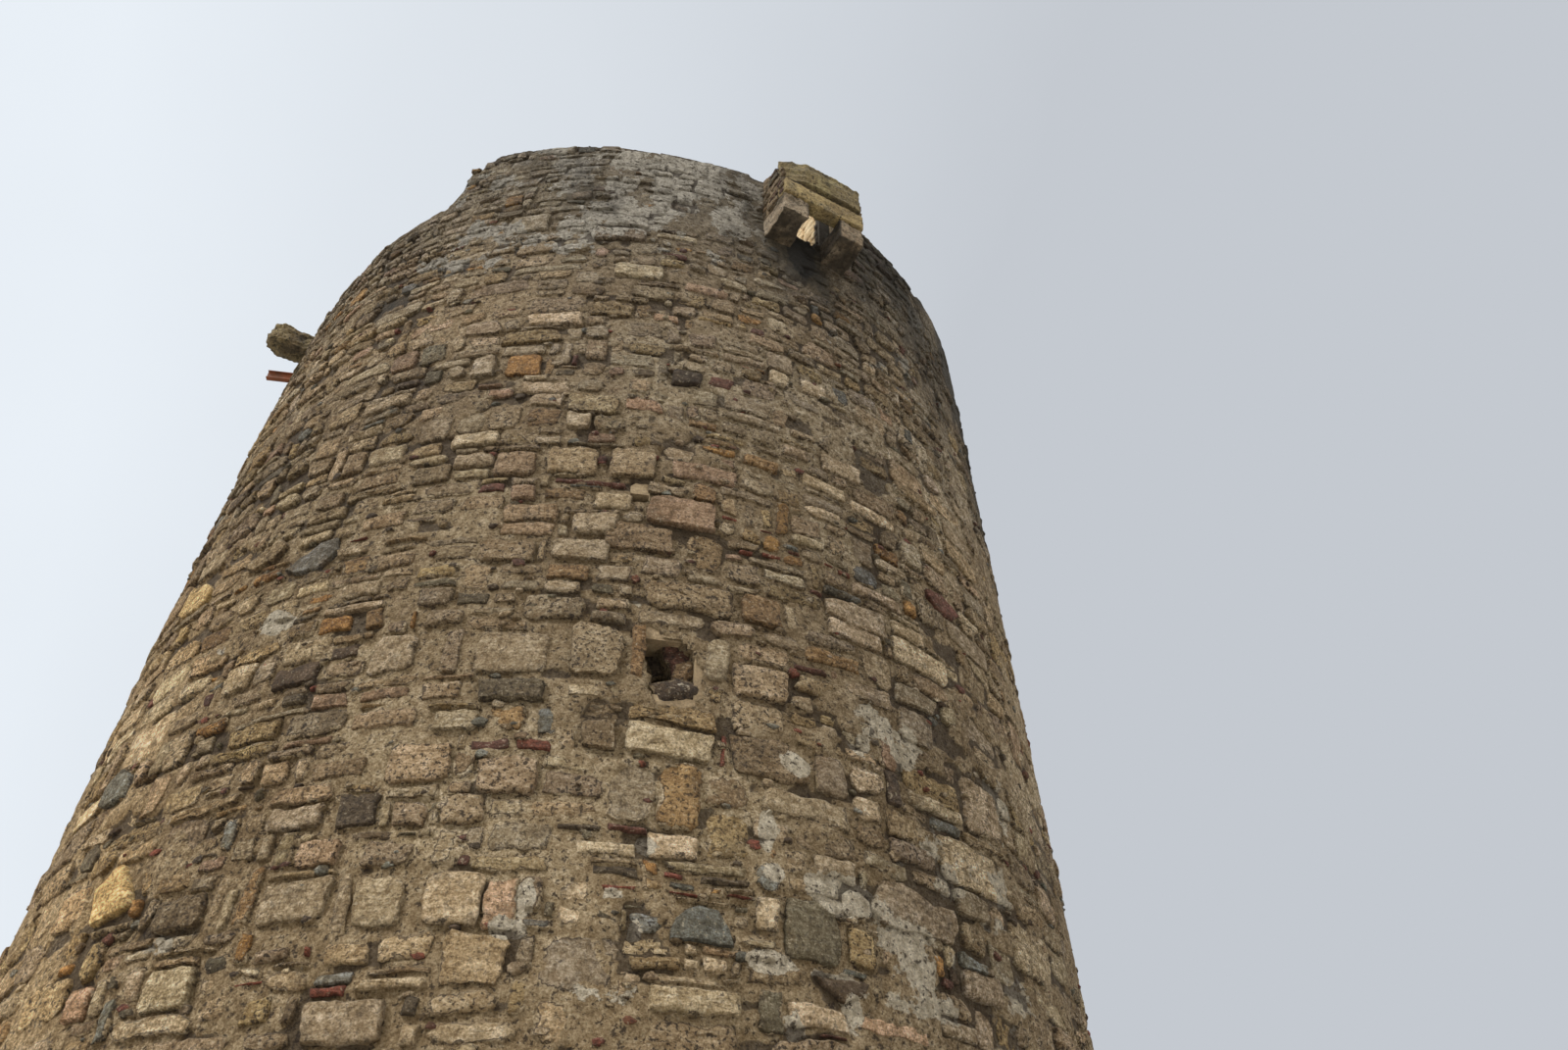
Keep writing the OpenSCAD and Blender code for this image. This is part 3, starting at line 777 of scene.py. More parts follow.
def hole_depth(u, v):
    """How far the holes push the skin in, in metres."""
    depth = CAVITY_DEPTH * smooth(0.0, 0.05, inside_polygon(u, v, CAVITY))
    az = azimuth(u)
    for direction, z, half_w, half_h, deep in POCKETS:
        across = np.abs(wrap(az - direction)) * math.pi / 180.0 * R_REF / half_w
        s = np.maximum(across, np.abs(v - z) / half_h)
        depth = np.maximum(depth, deep * (1.0 - smooth(0.7, 1.0, s)))
    return depth


# ---------------------------------------------------------------- mortar and lime over the face

# Lime left on the face: left, right, top and bottom pixel, and strength.
LIME = """
556 616 160 200 0.76|624 680 152 188 0.74|660 748 156 212 0.82|600 694 194 240 0.80
568 610 210 260 0.72|722 768 200 246 0.72|440 550 226 274 0.52|736 796 172 216 0.52
610 660 180 200 0.6|897 955 935 1012 0.74|790 830 765 790 0.8|905 985 1008 1040 0.6
930 1000 860 920 0.45|775 790 830 870 0.9|780 800 880 900 0.9|819 886 890 935 0.74
865 935 728 782 0.62|527 545 900 935 1.0|498 536 937 958 1.0|765 812 970 995 1.0
640 656 935 957 0.9|550 655 1000 1035 0.5|861 880 1020 1071 0.8|794 828 1028 1071 0.66
1022 1055 989 1071 0.55|1000 1024 755 850 0.58|978 1011 878 933 0.56|620 700 234 256 0.42
470 540 170 205 0.42|1000 1040 930 960 0.5|1010 1030 880 930 0.6|545 640 146 172 0.46
648 668 855 870 0.8|830 870 990 998 0.8|615 637 906 918 0.9|700 740 250 268 0.42
270 300 625 645 0.8|150 175 955 975 0.4
"""


def lime_places():
    """The middle, half width, half height and strength of each patch of lime, on the wall."""
    rows = []
    for words in rows_of(LIME):
        x0, x1, y0, y1, strength = (float(x) for x in words)
        x, y = (x0 + x1) / 2, (y0 + y1) / 2
        spots = [hit(x0, y), hit(x1, y), hit(x, y0), hit(x, y1)]
        if None not in spots:
            us, vs = np.array(spots).T
            half_w, half_h = abs(us[1] - us[0]) / 2, abs(vs[2] - vs[3]) / 2
            rows.append((us[:2].mean(), vs[2:].mean(), half_w, half_h, strength))
    return rows


LIME_PLACES = lime_places()


def lime_mask(u, v, p):
    """Where lime mortar still covers the stones, 0 to 1, before its edge is broken up."""
    mask = np.zeros(len(u))
    for cu, cv, hu, hv, strength in LIME_PLACES:
        s = ((u - cu) / (hu * 1.15)) ** 2 + ((v - cv) / (hv * 1.15)) ** 2
        mask = np.maximum(mask, strength * np.exp(-s * s * 0.7))
    az = azimuth(u)
    loose = fbm(p, 0.9, 3, 21)
    band = smooth(9.6, 11.4, v) * 0.2
    flank = smooth(-30.0, 20.0, az) * smooth(120.0, 60.0, az) * 0.12 + 0.06
    return np.clip(np.maximum(mask, smooth(0.1, 0.75, loose) * (band + flank) * 1.6), 0.0, 1.0)


def patches(share, loose, low, high):
    """1 on about this share of the face, in patches that follow a loose noise; 0 elsewhere."""
    level = 0.42 - 1.25 * share
    return smooth(level + low, level + high, loose)


def flush_mask(u, v, p):
    """Where later mortar lies over the stones, 0 to 1."""
    az = azimuth(u)
    share = 0.05 + 0.09 * smooth(-42.0, -8.0, az) * smooth(100.0, 60.0, az)
    share = share + 0.14 * smooth(10.0, 11.0, v) * smooth(-40.0, -28.0, az) * smooth(30.0, 14.0, az)
    share = share + 0.13 * smooth(7.0, 5.6, v) * smooth(-38.0, -20.0, az) * smooth(40.0, 26.0, az)
    share = share + 0.30 * smooth(28.0, 42.0, az) * smooth(110.0, 80.0, az)
    far_left = smooth(-38.0, -48.0, az) * smooth(-100.0, -80.0, az)
    share = share + 0.10 * far_left * smooth(9.6, 8.6, v)
    return patches(share, fbm(p, 1.9, 4, 25), -0.03, 0.19)


def open_joints(u, v, p):
    """Where the mortar has fallen out of the joints, 0 to 1: most on the left."""
    az = azimuth(u)
    share = 0.20 + 0.19 * smooth(-20.0, -48.0, az) + 0.14 * smooth(18.0, 34.0, az)
    share = share - 0.18 * smooth(34.0, 46.0, az)
    low = smooth(8.4, 6.6, v)
    share = share + low * (0.09 * smooth(6.0, 16.0, az) - 0.12 * smooth(4.0, -14.0, az))
    return patches(share, fbm(p * (1.0, 1.0, 1.5), 3.1, 3, 27), 0.0, 0.14)


# a traced stone this wide and high stands prouder, in mortar that is lower round it
LARGE = 0.16
HERO_STONES = hero_places()


def mortar_height(u, v, p):
    """How proud the mortar stands of the CAD face: nearly level with the stones."""
    left = smooth(-22.0, -48.0, azimuth(u))
    rough = 0.007 * fbm(p, 4.5, 2, 41) + 0.007 * fbm(p, 13.0, 2, 42)
    rough = rough + 0.003 * value_noise(p * 31.0, 43)
    level = 0.013 + 0.006 * left + rough + 0.014 * flush_mask(u, v, p)
    level = level - (0.034 + 0.012 * left) * open_joints(u, v, p)
    for _, (u0, u1, v0, v1), _ in HERO_STONES:
        if min(u1 - u0, v1 - v0) > LARGE:
            aside = np.abs(u - (u0 + u1) / 2) - (u1 - u0) / 2
            above = np.abs(v - (v0 + v1) / 2) - (v1 - v0) / 2
            level = level - 0.013 * smooth(0.034, 0.012, np.maximum(aside, above))
    return np.maximum(level, 0.001)


def roughness_mask(u):
    """Up to 1 on the flanks, whose face is rougher than the middle's."""
    az = azimuth(u)
    return np.maximum(smooth(-16.0, -38.0, az), 0.9 * smooth(12.0, 30.0, az))


def mortar_tone(u, v, p):
    """The mortar's colour, in broad patches of its three tones, with the face's painted light."""
    blend = fbm(p, 1.7, 3, 61)[:, None] * 0.5 + 0.5
    tone = MORTAR_TONES[0] * (1.0 - blend) + MORTAR_TONES[1] * blend
    pale = smooth(0.1, 0.6, fbm(p, 0.8, 2, 62))[:, None]
    return (tone * (1.0 - pale) + MORTAR_TONES[2] * pale) * tone_and_painted_light(u, v)


SKIN_BACK = -0.44  # where the back of the slabs lies


def skin(name, az0, az1, v0, top, step, coarse):
    """A closed slab of mortar over the outer face between two directions.

    Its front has cells of about step metres, its back has fewer by coarse each way.
    """
    u0, u1 = along(az0), along(az1)
    nu = max(1, int(round((u1 - u0) / step / coarse))) * coarse
    nv = max(1, int(round((top(np.array([(u0 + u1) / 2]))[0] - v0) / step / coarse))) * coarse
    us = np.linspace(u0, u1, nu + 1)
    u, t = np.meshgrid(us, np.linspace(0.0, 1.0, nv + 1))
    v = v0 + (top(us)[None, :] - v0) * t
    u, v, t = u.ravel(), v.ravel(), t.ravel()
    p = outer(u, v, np.zeros(len(u)))
    lime = lime_mask(u, v, p)
    hole = hole_depth(u, v)
    h = mortar_height(u, v, p) + 0.006 * smooth(0.42, 0.62, lime + 0.3 * fbm(p, 7.0, 3, 51))
    h = h - hole * (1.0 + 0.12 * fbm(p, 12.0, 2, 52))
    within = (u > u0 + 1e-6) & (u < u1 - 1e-6) & (t > 1e-6) & (t < 1.0 - 1e-6)
    jitter = step * 0.28
    du = jitter * value_noise(p * 37.0, 53) * within
    dv = jitter * value_noise(p * 37.0, 54) * within
    front = outer(u + du, v + dv, h)
    bu, bt = np.meshgrid(us[::coarse], np.linspace(0.0, 1.0, nv // coarse + 1))
    bv = v0 + (top(bu.ravel()).reshape(bu.shape) - v0) * bt
    back = outer(bu.ravel(), bv.ravel(), np.full(bu.size, SKIN_BACK))
    # painted shade: the skin is darker inside the holes
    tone = mortar_tone(u, v, p) * (1.0 - 0.55 * smooth(0.02, 0.2, hole))[:, None]
    tone = np.column_stack([tone, open_joints(u, v, p)])
    marks = np.column_stack([stain(u, v), lime, roughness_mask(u)])
    layers = {
        "tone": np.vstack([tone, np.tile((*MORTAR_TONES[1], 0.0), (len(back), 1))]),
        "mark": np.vstack([marks, np.zeros((len(back), 3))]),
    }
    faces = slab_faces(nu, nv, coarse)
    new_piece("mortar_" + name, np.vstack([front, back]), faces, MORTAR, 62, layers)


# ---------------------------------------------------------------- materials


class Nodes:
    """Short calls for building the nodes of a material or of the world."""

    def __init__(self, owner, coordinates="Object"):
        owner.use_nodes = True
        self.owner, self.tree = owner, owner.node_tree
        self.tree.nodes.clear()
        self.place = self.node("TexCoord").outputs[coordinates]

    def node(self, kind, inputs=(), **settings):
        """A new node; inputs: values or links by name or number."""
        node = self.tree.nodes.new("ShaderNode" + kind)
        for name, value in settings.items():
            setattr(node, name, value)
        for key, value in dict(inputs).items():
            self.put(value, node.inputs[key])
        return node

    def put(self, value, socket):
        if isinstance(value, bpy.types.NodeSocket):
            self.tree.links.new(value, socket)
        elif isinstance(value, (tuple, list, np.ndarray)):
            value = tuple(float(x) for x in value)
            whole = len(value) == len(socket.default_value)
            socket.default_value = value if whole else value + (1.0,)
        else:
            socket.default_value = value

    def stretch(self, scale, turn=(0, 0, 0)):
        inputs = {"Vector": self.place, "Scale": scale, "Rotation": turn}
        return self.node("Mapping", inputs).outputs[0]

    def noise(self, scale, detail=4.0, rough=0.6, place=None, twist=0.0):
        inputs = {"Vector": place or self.place, "Scale": scale, "Detail": detail}
        inputs.update({"Roughness": rough, "Distortion": twist})
        return self.node("TexNoise", inputs).outputs["Fac"]

    def cells(self, scale, place=None):
        inputs = {"Vector": place or self.place, "Scale": scale}
        return self.node("TexVoronoi", inputs).outputs["Distance"]

    def math(self, kind, *values):
        return self.node("Math", enumerate(values), operation=kind).outputs[0]

    def fold(self, kind, values):
        """Joins the values by one kind of sum, from the left."""
        total = values[0]
        for value in values[1:]:
            total = self.math(kind, total, value)
        return total

    def times(self, *values):
        return self.fold("MULTIPLY", values)

    def sum(self, *terms):
        """Adds (value, weight) terms."""
        parts = [x if weight == 1.0 else self.times(x, weight) for x, weight in terms]
        return self.fold("ADD", parts)

    def step(self, value, low, high, out_low=0.0, out_high=1.0):
        inputs = {"Value": value, "From Min": low, "From Max": high}
        inputs.update({"To Min": out_low, "To Max": out_high})
        return self.node("MapRange", inputs, interpolation_type="SMOOTHSTEP").outputs[0]

    def scaled(self, value, low, high):
        """Spreads a noise from low to high."""
        return self.step(value, 0.34, 0.66, low, high)

    def mix(self, factor, a, b, kind="MIX"):
        inputs = {"Factor": factor, 6: a, 7: b}
        return self.node("Mix", inputs, data_type="RGBA", blend_type=kind).outputs[2]

    def shaded(self, colour, shade):
        return self.mix(1.0, colour, shade, "MULTIPLY")

    def attribute(self, name, out="Color"):
        return self.node("Attribute", attribute_name=name).outputs[out]

    def shading(self, rough, *factors):
        """Multiplies factors into a shade whose darks are warm and whose lights are cool."""
        contrast = self.math("MULTIPLY_ADD", rough, 0.42, 1.0)
        total = self.math("POWER", self.times(*factors), contrast)
        powers = enumerate(self.math("POWER", total, power) for power in (0.86, 1.0, 1.28))
        return self.node("CombineColor", powers).outputs[0]

    def split(self, colour):
        return self.node("SeparateColor", {0: colour}).outputs[:3]

    def xyz(self, vector=None):
        return self.node("SeparateXYZ", {0: vector or self.place}).outputs[:3]

    def finish(self, colour, roughness, relief, distance, strength=1.0, metallic=0.0):
        """relief: heights, which stand out by distance in metres."""
        bump = {"Strength": strength, "Distance": distance, "Height": relief}
        inputs = {
            "Base Color": colour, "Roughness": roughness, "Metallic": metallic,
            "Normal": self.node("Bump", bump).outputs[0],
        }
        self.node("OutputMaterial", {"Surface": self.node("BsdfPrincipled", inputs).outputs[0]})
        return self.owner


def material_nodes(name):
    return Nodes(bpy.data.materials.new(name))


# painted shade in the holes of the mortar and in the cracks round stones
CREVICE_SHADE = linear((54, 37, 20))  # holes in mortar and cracks round stones
MASONRY_RELIEF = 0.066


def weather(n, colour, dark, dark_tone):
    """Darkens a colour where the stain mask and a rough noise say so."""
    broken = n.sum((dark, 1.0), (n.math("SUBTRACT", n.noise(9.0, 6.0, 0.7), 0.5), 0.9))
    colour = n.mix(n.step(broken, 0.15, 0.85, 0.0, 0.85), colour, dark_tone)
    return n.mix(n.step(broken, 1.0, 1.35, 0.0, 0.85), colour, linear((22, 18, 13)))


def textures(n):
    """The noises that stones and mortar share, from fine to broad."""
    return n.noise(72.0, 5.0, 0.76), n.noise(21.0, 6.0, 0.72), n.noise(6.2, 5.0, 0.66)


def lime_cover(n, lime):
    """Where lime lies: its mask, broken up in the same way over stones and mortar."""
    return n.step(n.sum((lime, 1.0), (n.noise(3.4, 10.0, 0.64), 2.6)), 1.81, 1.85)


def rougher(n, relief, rough):
    """Relief that is stronger on the flanks."""
    return n.times(relief, n.math("MULTIPLY_ADD", rough, 0.7, 1.0))


def mortar_look(n, tone, lime, rough, grain, lumps, patch):
    """Colour and relief of gritty mortar with pebbles, holes darkened with painted shade, and
    patches of lime.
    """
    colour = n.shaded(tone, n.shading(
        rough, n.scaled(grain, 0.58, 1.38), n.scaled(lumps, 0.62, 1.34), n.scaled(patch, 0.80, 1.2)
    ))
    pebble = n.times(n.step(n.cells(30.0), 0.40, 0.26, 0.0, 0.75), n.step(patch, 0.5, 0.6))
    pebble_tone = n.mix(n.step(lumps, 0.44, 0.56), linear((104, 86, 62)), linear((186, 168, 137)))
    colour = n.mix(pebble, colour, pebble_tone)
    cover = n.times(lime_cover(n, lime), 0.93)
    high = n.step(n.xyz()[2], 8.0, 10.0)
    lime_dark = n.mix(high, linear((188, 175, 151)), linear((152, 146, 134)))
    lime_pale = n.mix(high, linear((244, 234, 214)), linear((212, 206, 194)))
    lime_tone = n.mix(n.scaled(lumps, 0.0, 1.0), lime_dark, lime_pale)
    colour = n.mix(cover, colour, n.shaded(lime_tone, n.scaled(grain, 0.74, 1.24)))
    # painted shade in small holes of the mortar
    holes = n.step(n.noise(30.0, 5.0, 0.66), 0.43, 0.38, 0.0, 0.85)
    colour = n.mix(holes, colour, CREVICE_SHADE)
    relief = n.sum((grain, 0.5), (lumps, 1.8), (pebble, 0.6), (holes, -0.9), (cover, 0.5))
    return colour, relief


def rubble_material():
    """Stone with pores and cups; mortar and lime lap over its edge, and painted shade lies in the
    cracks round it.
    """
    n = material_nodes("rubble stone")
    edge = n.attribute("tone", "Alpha")
    dark, pits, lime = n.split(n.attribute("mark"))
    grain, lumps, patch = textures(n)
    layers = n.noise(7.0, 5.0, 0.65, n.stretch((0.7, 0.7, 6.0)))
    rough = n.attribute("bed", "Alpha")
    colour = n.shaded(n.attribute("tone"), n.shading(
        rough, n.scaled(grain, 0.58, 1.40), n.scaled(lumps, 0.64, 1.34), n.scaled(patch, 0.80, 1.2),
        n.scaled(layers, 0.82, 1.18),
    ))
    stains = n.noise(4.3, 6.0, 0.68)
    colour = n.mix(n.step(stains, 0.54, 0.68, 0.0, 0.32), colour, linear((150, 117, 72)))
    colour = n.mix(n.step(stains, 0.46, 0.34, 0.0, 0.45), colour, linear((94, 78, 56)))
    pores = n.noise(40.0, 4.0, 0.62)
    cups = n.step(n.cells(24.0, n.stretch((1.0, 1.0, 1.3))), 0.26, 0.15)
    cups = n.times(cups, n.step(pits, 0.2, 0.9, 0.2, 1.0), n.step(patch, 0.45, 0.53))
    hollow = n.times(n.step(pores, 0.45, 0.39), n.step(pits, 0.0, 0.8, 0.4, 1.0))
    cavities = n.math("MAXIMUM", hollow, cups)
    colour = n.mix(n.times(cavities, 0.88), colour, linear((46, 31, 17)))
    colour = n.mix(n.step(pores, 0.60, 0.66, 0.0, 0.5), colour, linear((222, 208, 180)))
    relief = n.sum((grain, 0.5), (patch, 0.9), (layers, 0.6), (lumps, 2.0), (cavities, -0.7))
    bed_colour, bed_relief = mortar_look(n, n.attribute("bed"), lime, rough, grain, lumps, patch)
    level = n.sum((edge, 1.0), (lumps, 2.0), (patch, 2.4))
    covered = n.math("MAXIMUM", n.step(level, 2.98, 3.10), lime_cover(n, lime))
    # painted shade in the cracks where stone and mortar part
    shaded_crack = n.times(n.step(level, 2.78, 2.92), n.math("SUBTRACT", 1.0, covered))
    shaded_crack = n.times(shaded_crack, n.step(n.noise(3.1, 3.0, 0.6), 0.44, 0.56, 0.25, 0.85))
    colour = n.mix(shaded_crack, n.mix(covered, colour, bed_colour), CREVICE_SHADE)
    to_bed = n.times(covered, n.sum((bed_relief, 1.0), (relief, -1.0), (covered, 0.3)))
    relief = rougher(n, n.sum((relief, 1.0), (to_bed, 1.0), (shaded_crack, -0.5)), rough)
    colour = weather(n, colour, dark, linear((50, 45, 35)))
    return n.finish(colour, n.scaled(grain, 0.84, 0.98), relief, MASONRY_RELIEF)


def mortar_material():
    """Mortar, with painted shade where it has fallen out of the joints."""
    n = material_nodes("lime mortar")
    dark, lime, rough = n.split(n.attribute("mark"))
    grain, lumps, patch = textures(n)
    colour, relief = mortar_look(n, n.attribute("tone"), lime, rough, grain, lumps, patch)
    # painted shade in the open joints
    fallen = n.sum((n.attribute("tone", "Alpha"), 1.0), (lumps, 1.5), (grain, 1.0))
    colour = n.mix(n.step(fallen, 1.62, 1.82, 0.0, 0.72), colour, linear((52, 36, 20)))
    colour = weather(n, colour, dark, linear((54, 48, 38)))
    return n.finish(colour, 0.95, rougher(n, relief, rough), MASONRY_RELIEF)


def plain_mortar_material(name, tones, scale=1.0):
    """For CAD faces between and behind the laid pieces."""
    n = material_nodes(name)
    grain = n.noise(60.0 * scale, 8.0, 0.72)
    lumps = n.noise(6.0 * scale, 6.0, 0.66)
    broad = n.noise(1.1 * scale, 4.0, 0.6)
    colour = n.mix(n.step(broad, 0.35, 0.65), linear(tones[0]), linear(tones[1]))
    colour = n.mix(n.step(lumps, 0.5, 0.7, 0.0, 0.6), colour, linear(tones[2]))
    colour = n.shaded(colour, n.times(n.scaled(grain, 0.75, 1.22), n.scaled(lumps, 0.82, 1.14)))
    relief = n.sum((grain, 0.35), (lumps, 1.0))
    return n.finish(colour, n.scaled(grain, 0.86, 0.98), relief, 0.025, 0.9)


def masonry_material(name, tones, size, joint):
    """Courses of small blocks on a curved CAD face, by direction and height."""
    n = material_nodes(name)
    x, y, z = n.xyz()
    around = n.times(n.math("ARCTAN2", x, y), 2.5)
    wavy = n.times(n.math("SUBTRACT", n.noise(2.2, 3.0), 0.5), 0.08)
    brick = n.node("TexBrick", {
        "Vector": n.node("CombineXYZ", {0: around, 1: n.math("ADD", z, wavy)}).outputs[0],
        "Scale": 1.0, "Mortar Size": joint, "Mortar Smooth": 0.4, "Bias": 0.0,
        "Brick Width": size[0], "Row Height": size[1],
        "Color1": linear(tones[0]), "Color2": linear(tones[1]), "Mortar": linear(tones[2]),
    })
    grain, lumps = n.noise(65.0, 8.0, 0.72), n.noise(9.0, 6.0, 0.66)
    shade = n.times(n.scaled(grain, 0.75, 1.22), n.scaled(lumps, 0.76, 1.2))
    colour = n.shaded(brick.outputs["Color"], shade)
    colour = n.mix(n.step(n.noise(1.3, 6.0, 0.65), 0.5, 0.6, 0.0, 0.75), colour, linear(tones[2]))
    relief = n.sum((grain, 0.3), (lumps, 1.0), (brick.outputs["Fac"], -0.7))
    return n.finish(colour, n.scaled(grain, 0.85, 0.98), relief, 0.025, 0.9)


def facing_down(n):
    """1 where the surface looks at the ground."""
    return n.step(n.xyz(n.node("NewGeometry").outputs["Normal"])[2], -0.2, -0.7)


def box_axis(n, out=False):
    """How far a point lies across the box's direction, or out along it."""
    turn = math.radians(BOX_DEG)
    x, y, _ = n.xyz()
    weights = (math.sin(turn), -math.cos(turn)) if out else (math.cos(turn), math.sin(turn))
    return n.sum((x, weights[0]), (y, weights[1]))


def drop_hole_shade(n):
    """Painted shade in black streaks on the faces that look into the drop hole."""
    inside = n.step(n.math("ABSOLUTE", box_axis(n)), 0.20, 0.17)
    return n.times(inside, n.step(n.noise(4.0, 5.0, 0.65), 0.40, 0.56, 0.68, 0.96))


def sandstone_material(name, pale, brown, vein, crust_share, shade_and_soot, corbel=False):
    """Layered, worn dressed stone: three tones, the share under a dark crust, and the strength of
    soot and painted shade beneath.
    """
    n = material_nodes(name)
    grain, lumps, patch = textures(n)
    layers = n.noise(6.0, 6.0, 0.68, n.stretch((0.8, 0.8, 8.0), (0.05, 0.04, 0.0)), 0.4)
    colour = n.mix(n.step(n.noise(3.2, 5.0, 0.62), 0.40, 0.62), linear(pale), linear(brown))
    colour = n.mix(n.step(layers, 0.52, 0.64, 0.0, 0.6), colour, linear(vein))
    colour = n.mix(n.step(layers, 0.46, 0.36, 0.0, 0.5), colour, linear([0.62 * x for x in brown]))
    colour = n.mix(n.step(patch, 0.54, 0.66, 0.0, 0.5), colour, linear((118, 111, 94)))
    crust = n.sum((n.noise(2.9, 7.0, 0.68), 1.0), (lumps, 0.35))
    crust = n.step(crust, 0.86 - 0.3 * crust_share, 0.94 - 0.3 * crust_share, 0.0, 0.72)
    colour = n.mix(crust, colour, linear((58, 52, 38)))
    # painted shade on the undersides, with soot
    under = n.step(n.noise(3.7, 5.0, 0.6), 0.38, 0.58, 0.55 * shade_and_soot, shade_and_soot)
    under = n.times(facing_down(n), under)
    if corbel:
        under = n.math("MAXIMUM", under, drop_hole_shade(n))
    colour = n.mix(under, colour, linear((40, 33, 23)))
    pores = n.step(n.noise(34.0, 5.0, 0.64), 0.43, 0.37, 0.0, 0.8)
    colour = n.mix(pores, colour, linear((46, 36, 24)))
    colour = n.shaded(colour, n.times(n.scaled(grain, 0.72, 1.26), n.scaled(lumps, 0.74, 1.24)))
    relief = n.sum((grain, 0.4), (layers, 1.0), (lumps, 1.3), (pores, -0.8))
    return n.finish(colour, n.scaled(grain, 0.84, 0.97), relief, 0.03)


def jamb_material():
    """Stone painted pale to stand for sunlight, with fine dark beds; black where it meets the outer
    face.
    """
    n = material_nodes("jamb stone painted sunlit")
    grain, lumps, patch = textures(n)
    beds = n.noise(9.0, 5.0, 0.66, n.stretch((0.6, 0.6, 5.0)))
    # painted light: tones much paler than the stone, as if in sunlight
    colour = n.mix(n.step(patch, 0.4, 0.6), linear((250, 230, 192)), linear((240, 212, 166)))
    colour = n.mix(n.step(beds, 0.44, 0.36, 0.0, 0.7), colour, linear((150, 104, 62)))
    colour = n.shaded(colour, n.times(n.scaled(grain, 0.84, 1.1), n.scaled(lumps, 0.84, 1.08)))
    dark = n.step(n.sum((box_axis(n, out=True), 1.0), (patch, 0.06)), 3.71, 3.75, 0.0, 0.96)
    colour = n.mix(dark, colour, linear((30, 24, 17)))
    return n.finish(colour, n.scaled(grain, 0.84, 0.97), n.sum((grain, 0.4), (beds, 1.2)), 0.02)


def iron_material():
    n = material_nodes("rusty iron")
    flakes, broad = n.noise(38.0, 8.0, 0.7), n.noise(7.0, 5.0, 0.6)
    colour = n.mix(n.step(broad, 0.36, 0.64), linear((132, 74, 44)), linear((98, 62, 42)))
    colour = n.mix(n.step(flakes, 0.55, 0.7, 0.0, 0.6), colour, linear((150, 92, 54)))
    colour = n.mix(n.step(flakes, 0.42, 0.32, 0.0, 0.6), colour, linear((48, 38, 36)))
    bare = n.step(flakes, 0.3, 0.42, 0.35, 0.0)
    return n.finish(colour, n.scaled(flakes, 0.7, 0.92), flakes, 0.004, 0.8, bare)


def floor_material():
    n = material_nodes("pale floor")
    speck = n.noise(12.0, 6.0, 0.6)
    colour = n.mix(n.scaled(speck, 0.0, 1.0), linear((194, 190, 182)), linear((202, 198, 190)))
    return n.finish(colour, 0.9, speck, 0.002, 0.2)


RUBBLE = rubble_material()
MORTAR = mortar_material()
SANDSTONE, LINTEL_STONE, CORBEL_STONE, TOP_STONE, DARK_STONE, CHEEK_STONE, STUB_STONE = (
    sandstone_material(*row) for row in (
        ("yellow sandstone", (166, 144, 101), (130, 112, 83), (182, 161, 119), 0.5, 0.4),
        ("lintel stone", (178, 158, 110), (146, 126, 86), (186, 166, 122), 0.3, 0.3),
        ("corbel stone", (178, 162, 140), (136, 118, 94), (184, 168, 146), 0.4, 0.92, True),
        ("top course stone", (168, 156, 114), (132, 118, 86), (150, 134, 100), 0.4, 0.4),
        ("recessed course stone", (104, 88, 64), (80, 66, 46), (124, 106, 76), 0.6, 0.5),
        ("cheek masonry", (150, 131, 102), (116, 98, 74), (162, 142, 114), 0.5, 0.5),
        ("stub stone", (150, 134, 98), (118, 100, 72), (166, 148, 110), 0.45, 0.4),
    )
)
JAMB_STONE = jamb_material()

# ---------------------------------------------------------------- the outer face


def full_top(u):
    """Height of the outer face: the ruined stretch is lower."""
    az = azimuth(u)
    ruined = smooth(FAR_BREAK_DEG - 2.0, FAR_BREAK_DEG + 1.0, az)
    ruined = ruined * smooth(NEAR_BREAK_DEG + 2.4, NEAR_BREAK_DEG + 0.4, az)
    return BODY_TOP * (1.0 - ruined) + table(RUINED_TOPS, az) * ruined


def stone_top(u):
    """Height that the stones of the outer face reach: the rim follows PARAPET_TOPS."""
    whole = full_top(u)
    rim = table(PARAPET_TOPS, rim_direction(np.degrees(np.asarray(u) / R_REF)))
    return whole + np.where(whole > BODY_TOP - 0.01, np.maximum(rim - BODY_TOP - 0.03, 0.0), 0.0)


STONE_LIGHT = 1.49  # the photograph's light on TONES, against the scene's


def stone_tone(rng, code):
    """A stone's colour: its tone, a little lighter or darker and of another hue than the next."""
    light = STONE_LIGHT * math.exp(min(max(rng.normal(0.0, 0.20), -0.28), 0.24))
    return linear(TONES[code]) * light * (1.0 + rng.normal(0.0, 0.014, 3))


def stone_height(az, rng, code):
    """How proud a stone stands: most on the left, least where it is a brick."""
    left = float(smooth(-22.0, -48.0, az))
    right = float(smooth(10.0, 35.0, az) * smooth(90.0, 64.0, az))
    proud = (0.026 + 0.008 * left + 0.005 * right) * math.exp(rng.normal(0.0, 0.24))
    if code in "rR":
        proud *= 0.8
    return min(max(proud, 0.014), 0.046)


def visible_size(u, v):
    """Mean width and height of the stones by place."""
    low = float(smooth(7.2, 4.8, v))
    high = float(smooth(8.8, 10.6, v))
    left = float(smooth(-20.0, -46.0, math.degrees(u / R_REF)))
    shrink = 1.0 - 0.2 * left * float(smooth(7.4, 9.0, v))
    return (0.37 + 0.11 * low - 0.10 * high) * shrink, (0.195 + 0.06 * low - 0.08 * high) * shrink


def back_size(u, v):
    """Mean width and height of the stones that the photograph doesn't show."""
    low = float(smooth(6.5, 3.5, v))
    high = float(smooth(9.0, 10.8, v))
    return 0.44 + 0.14 * low - 0.08 * high, 0.24 + 0.07 * low - 0.06 * high


# the doorway: left and right of its middle, low and high
DOOR_GAP = (-0.70, 0.70, 5.42, 7.66)
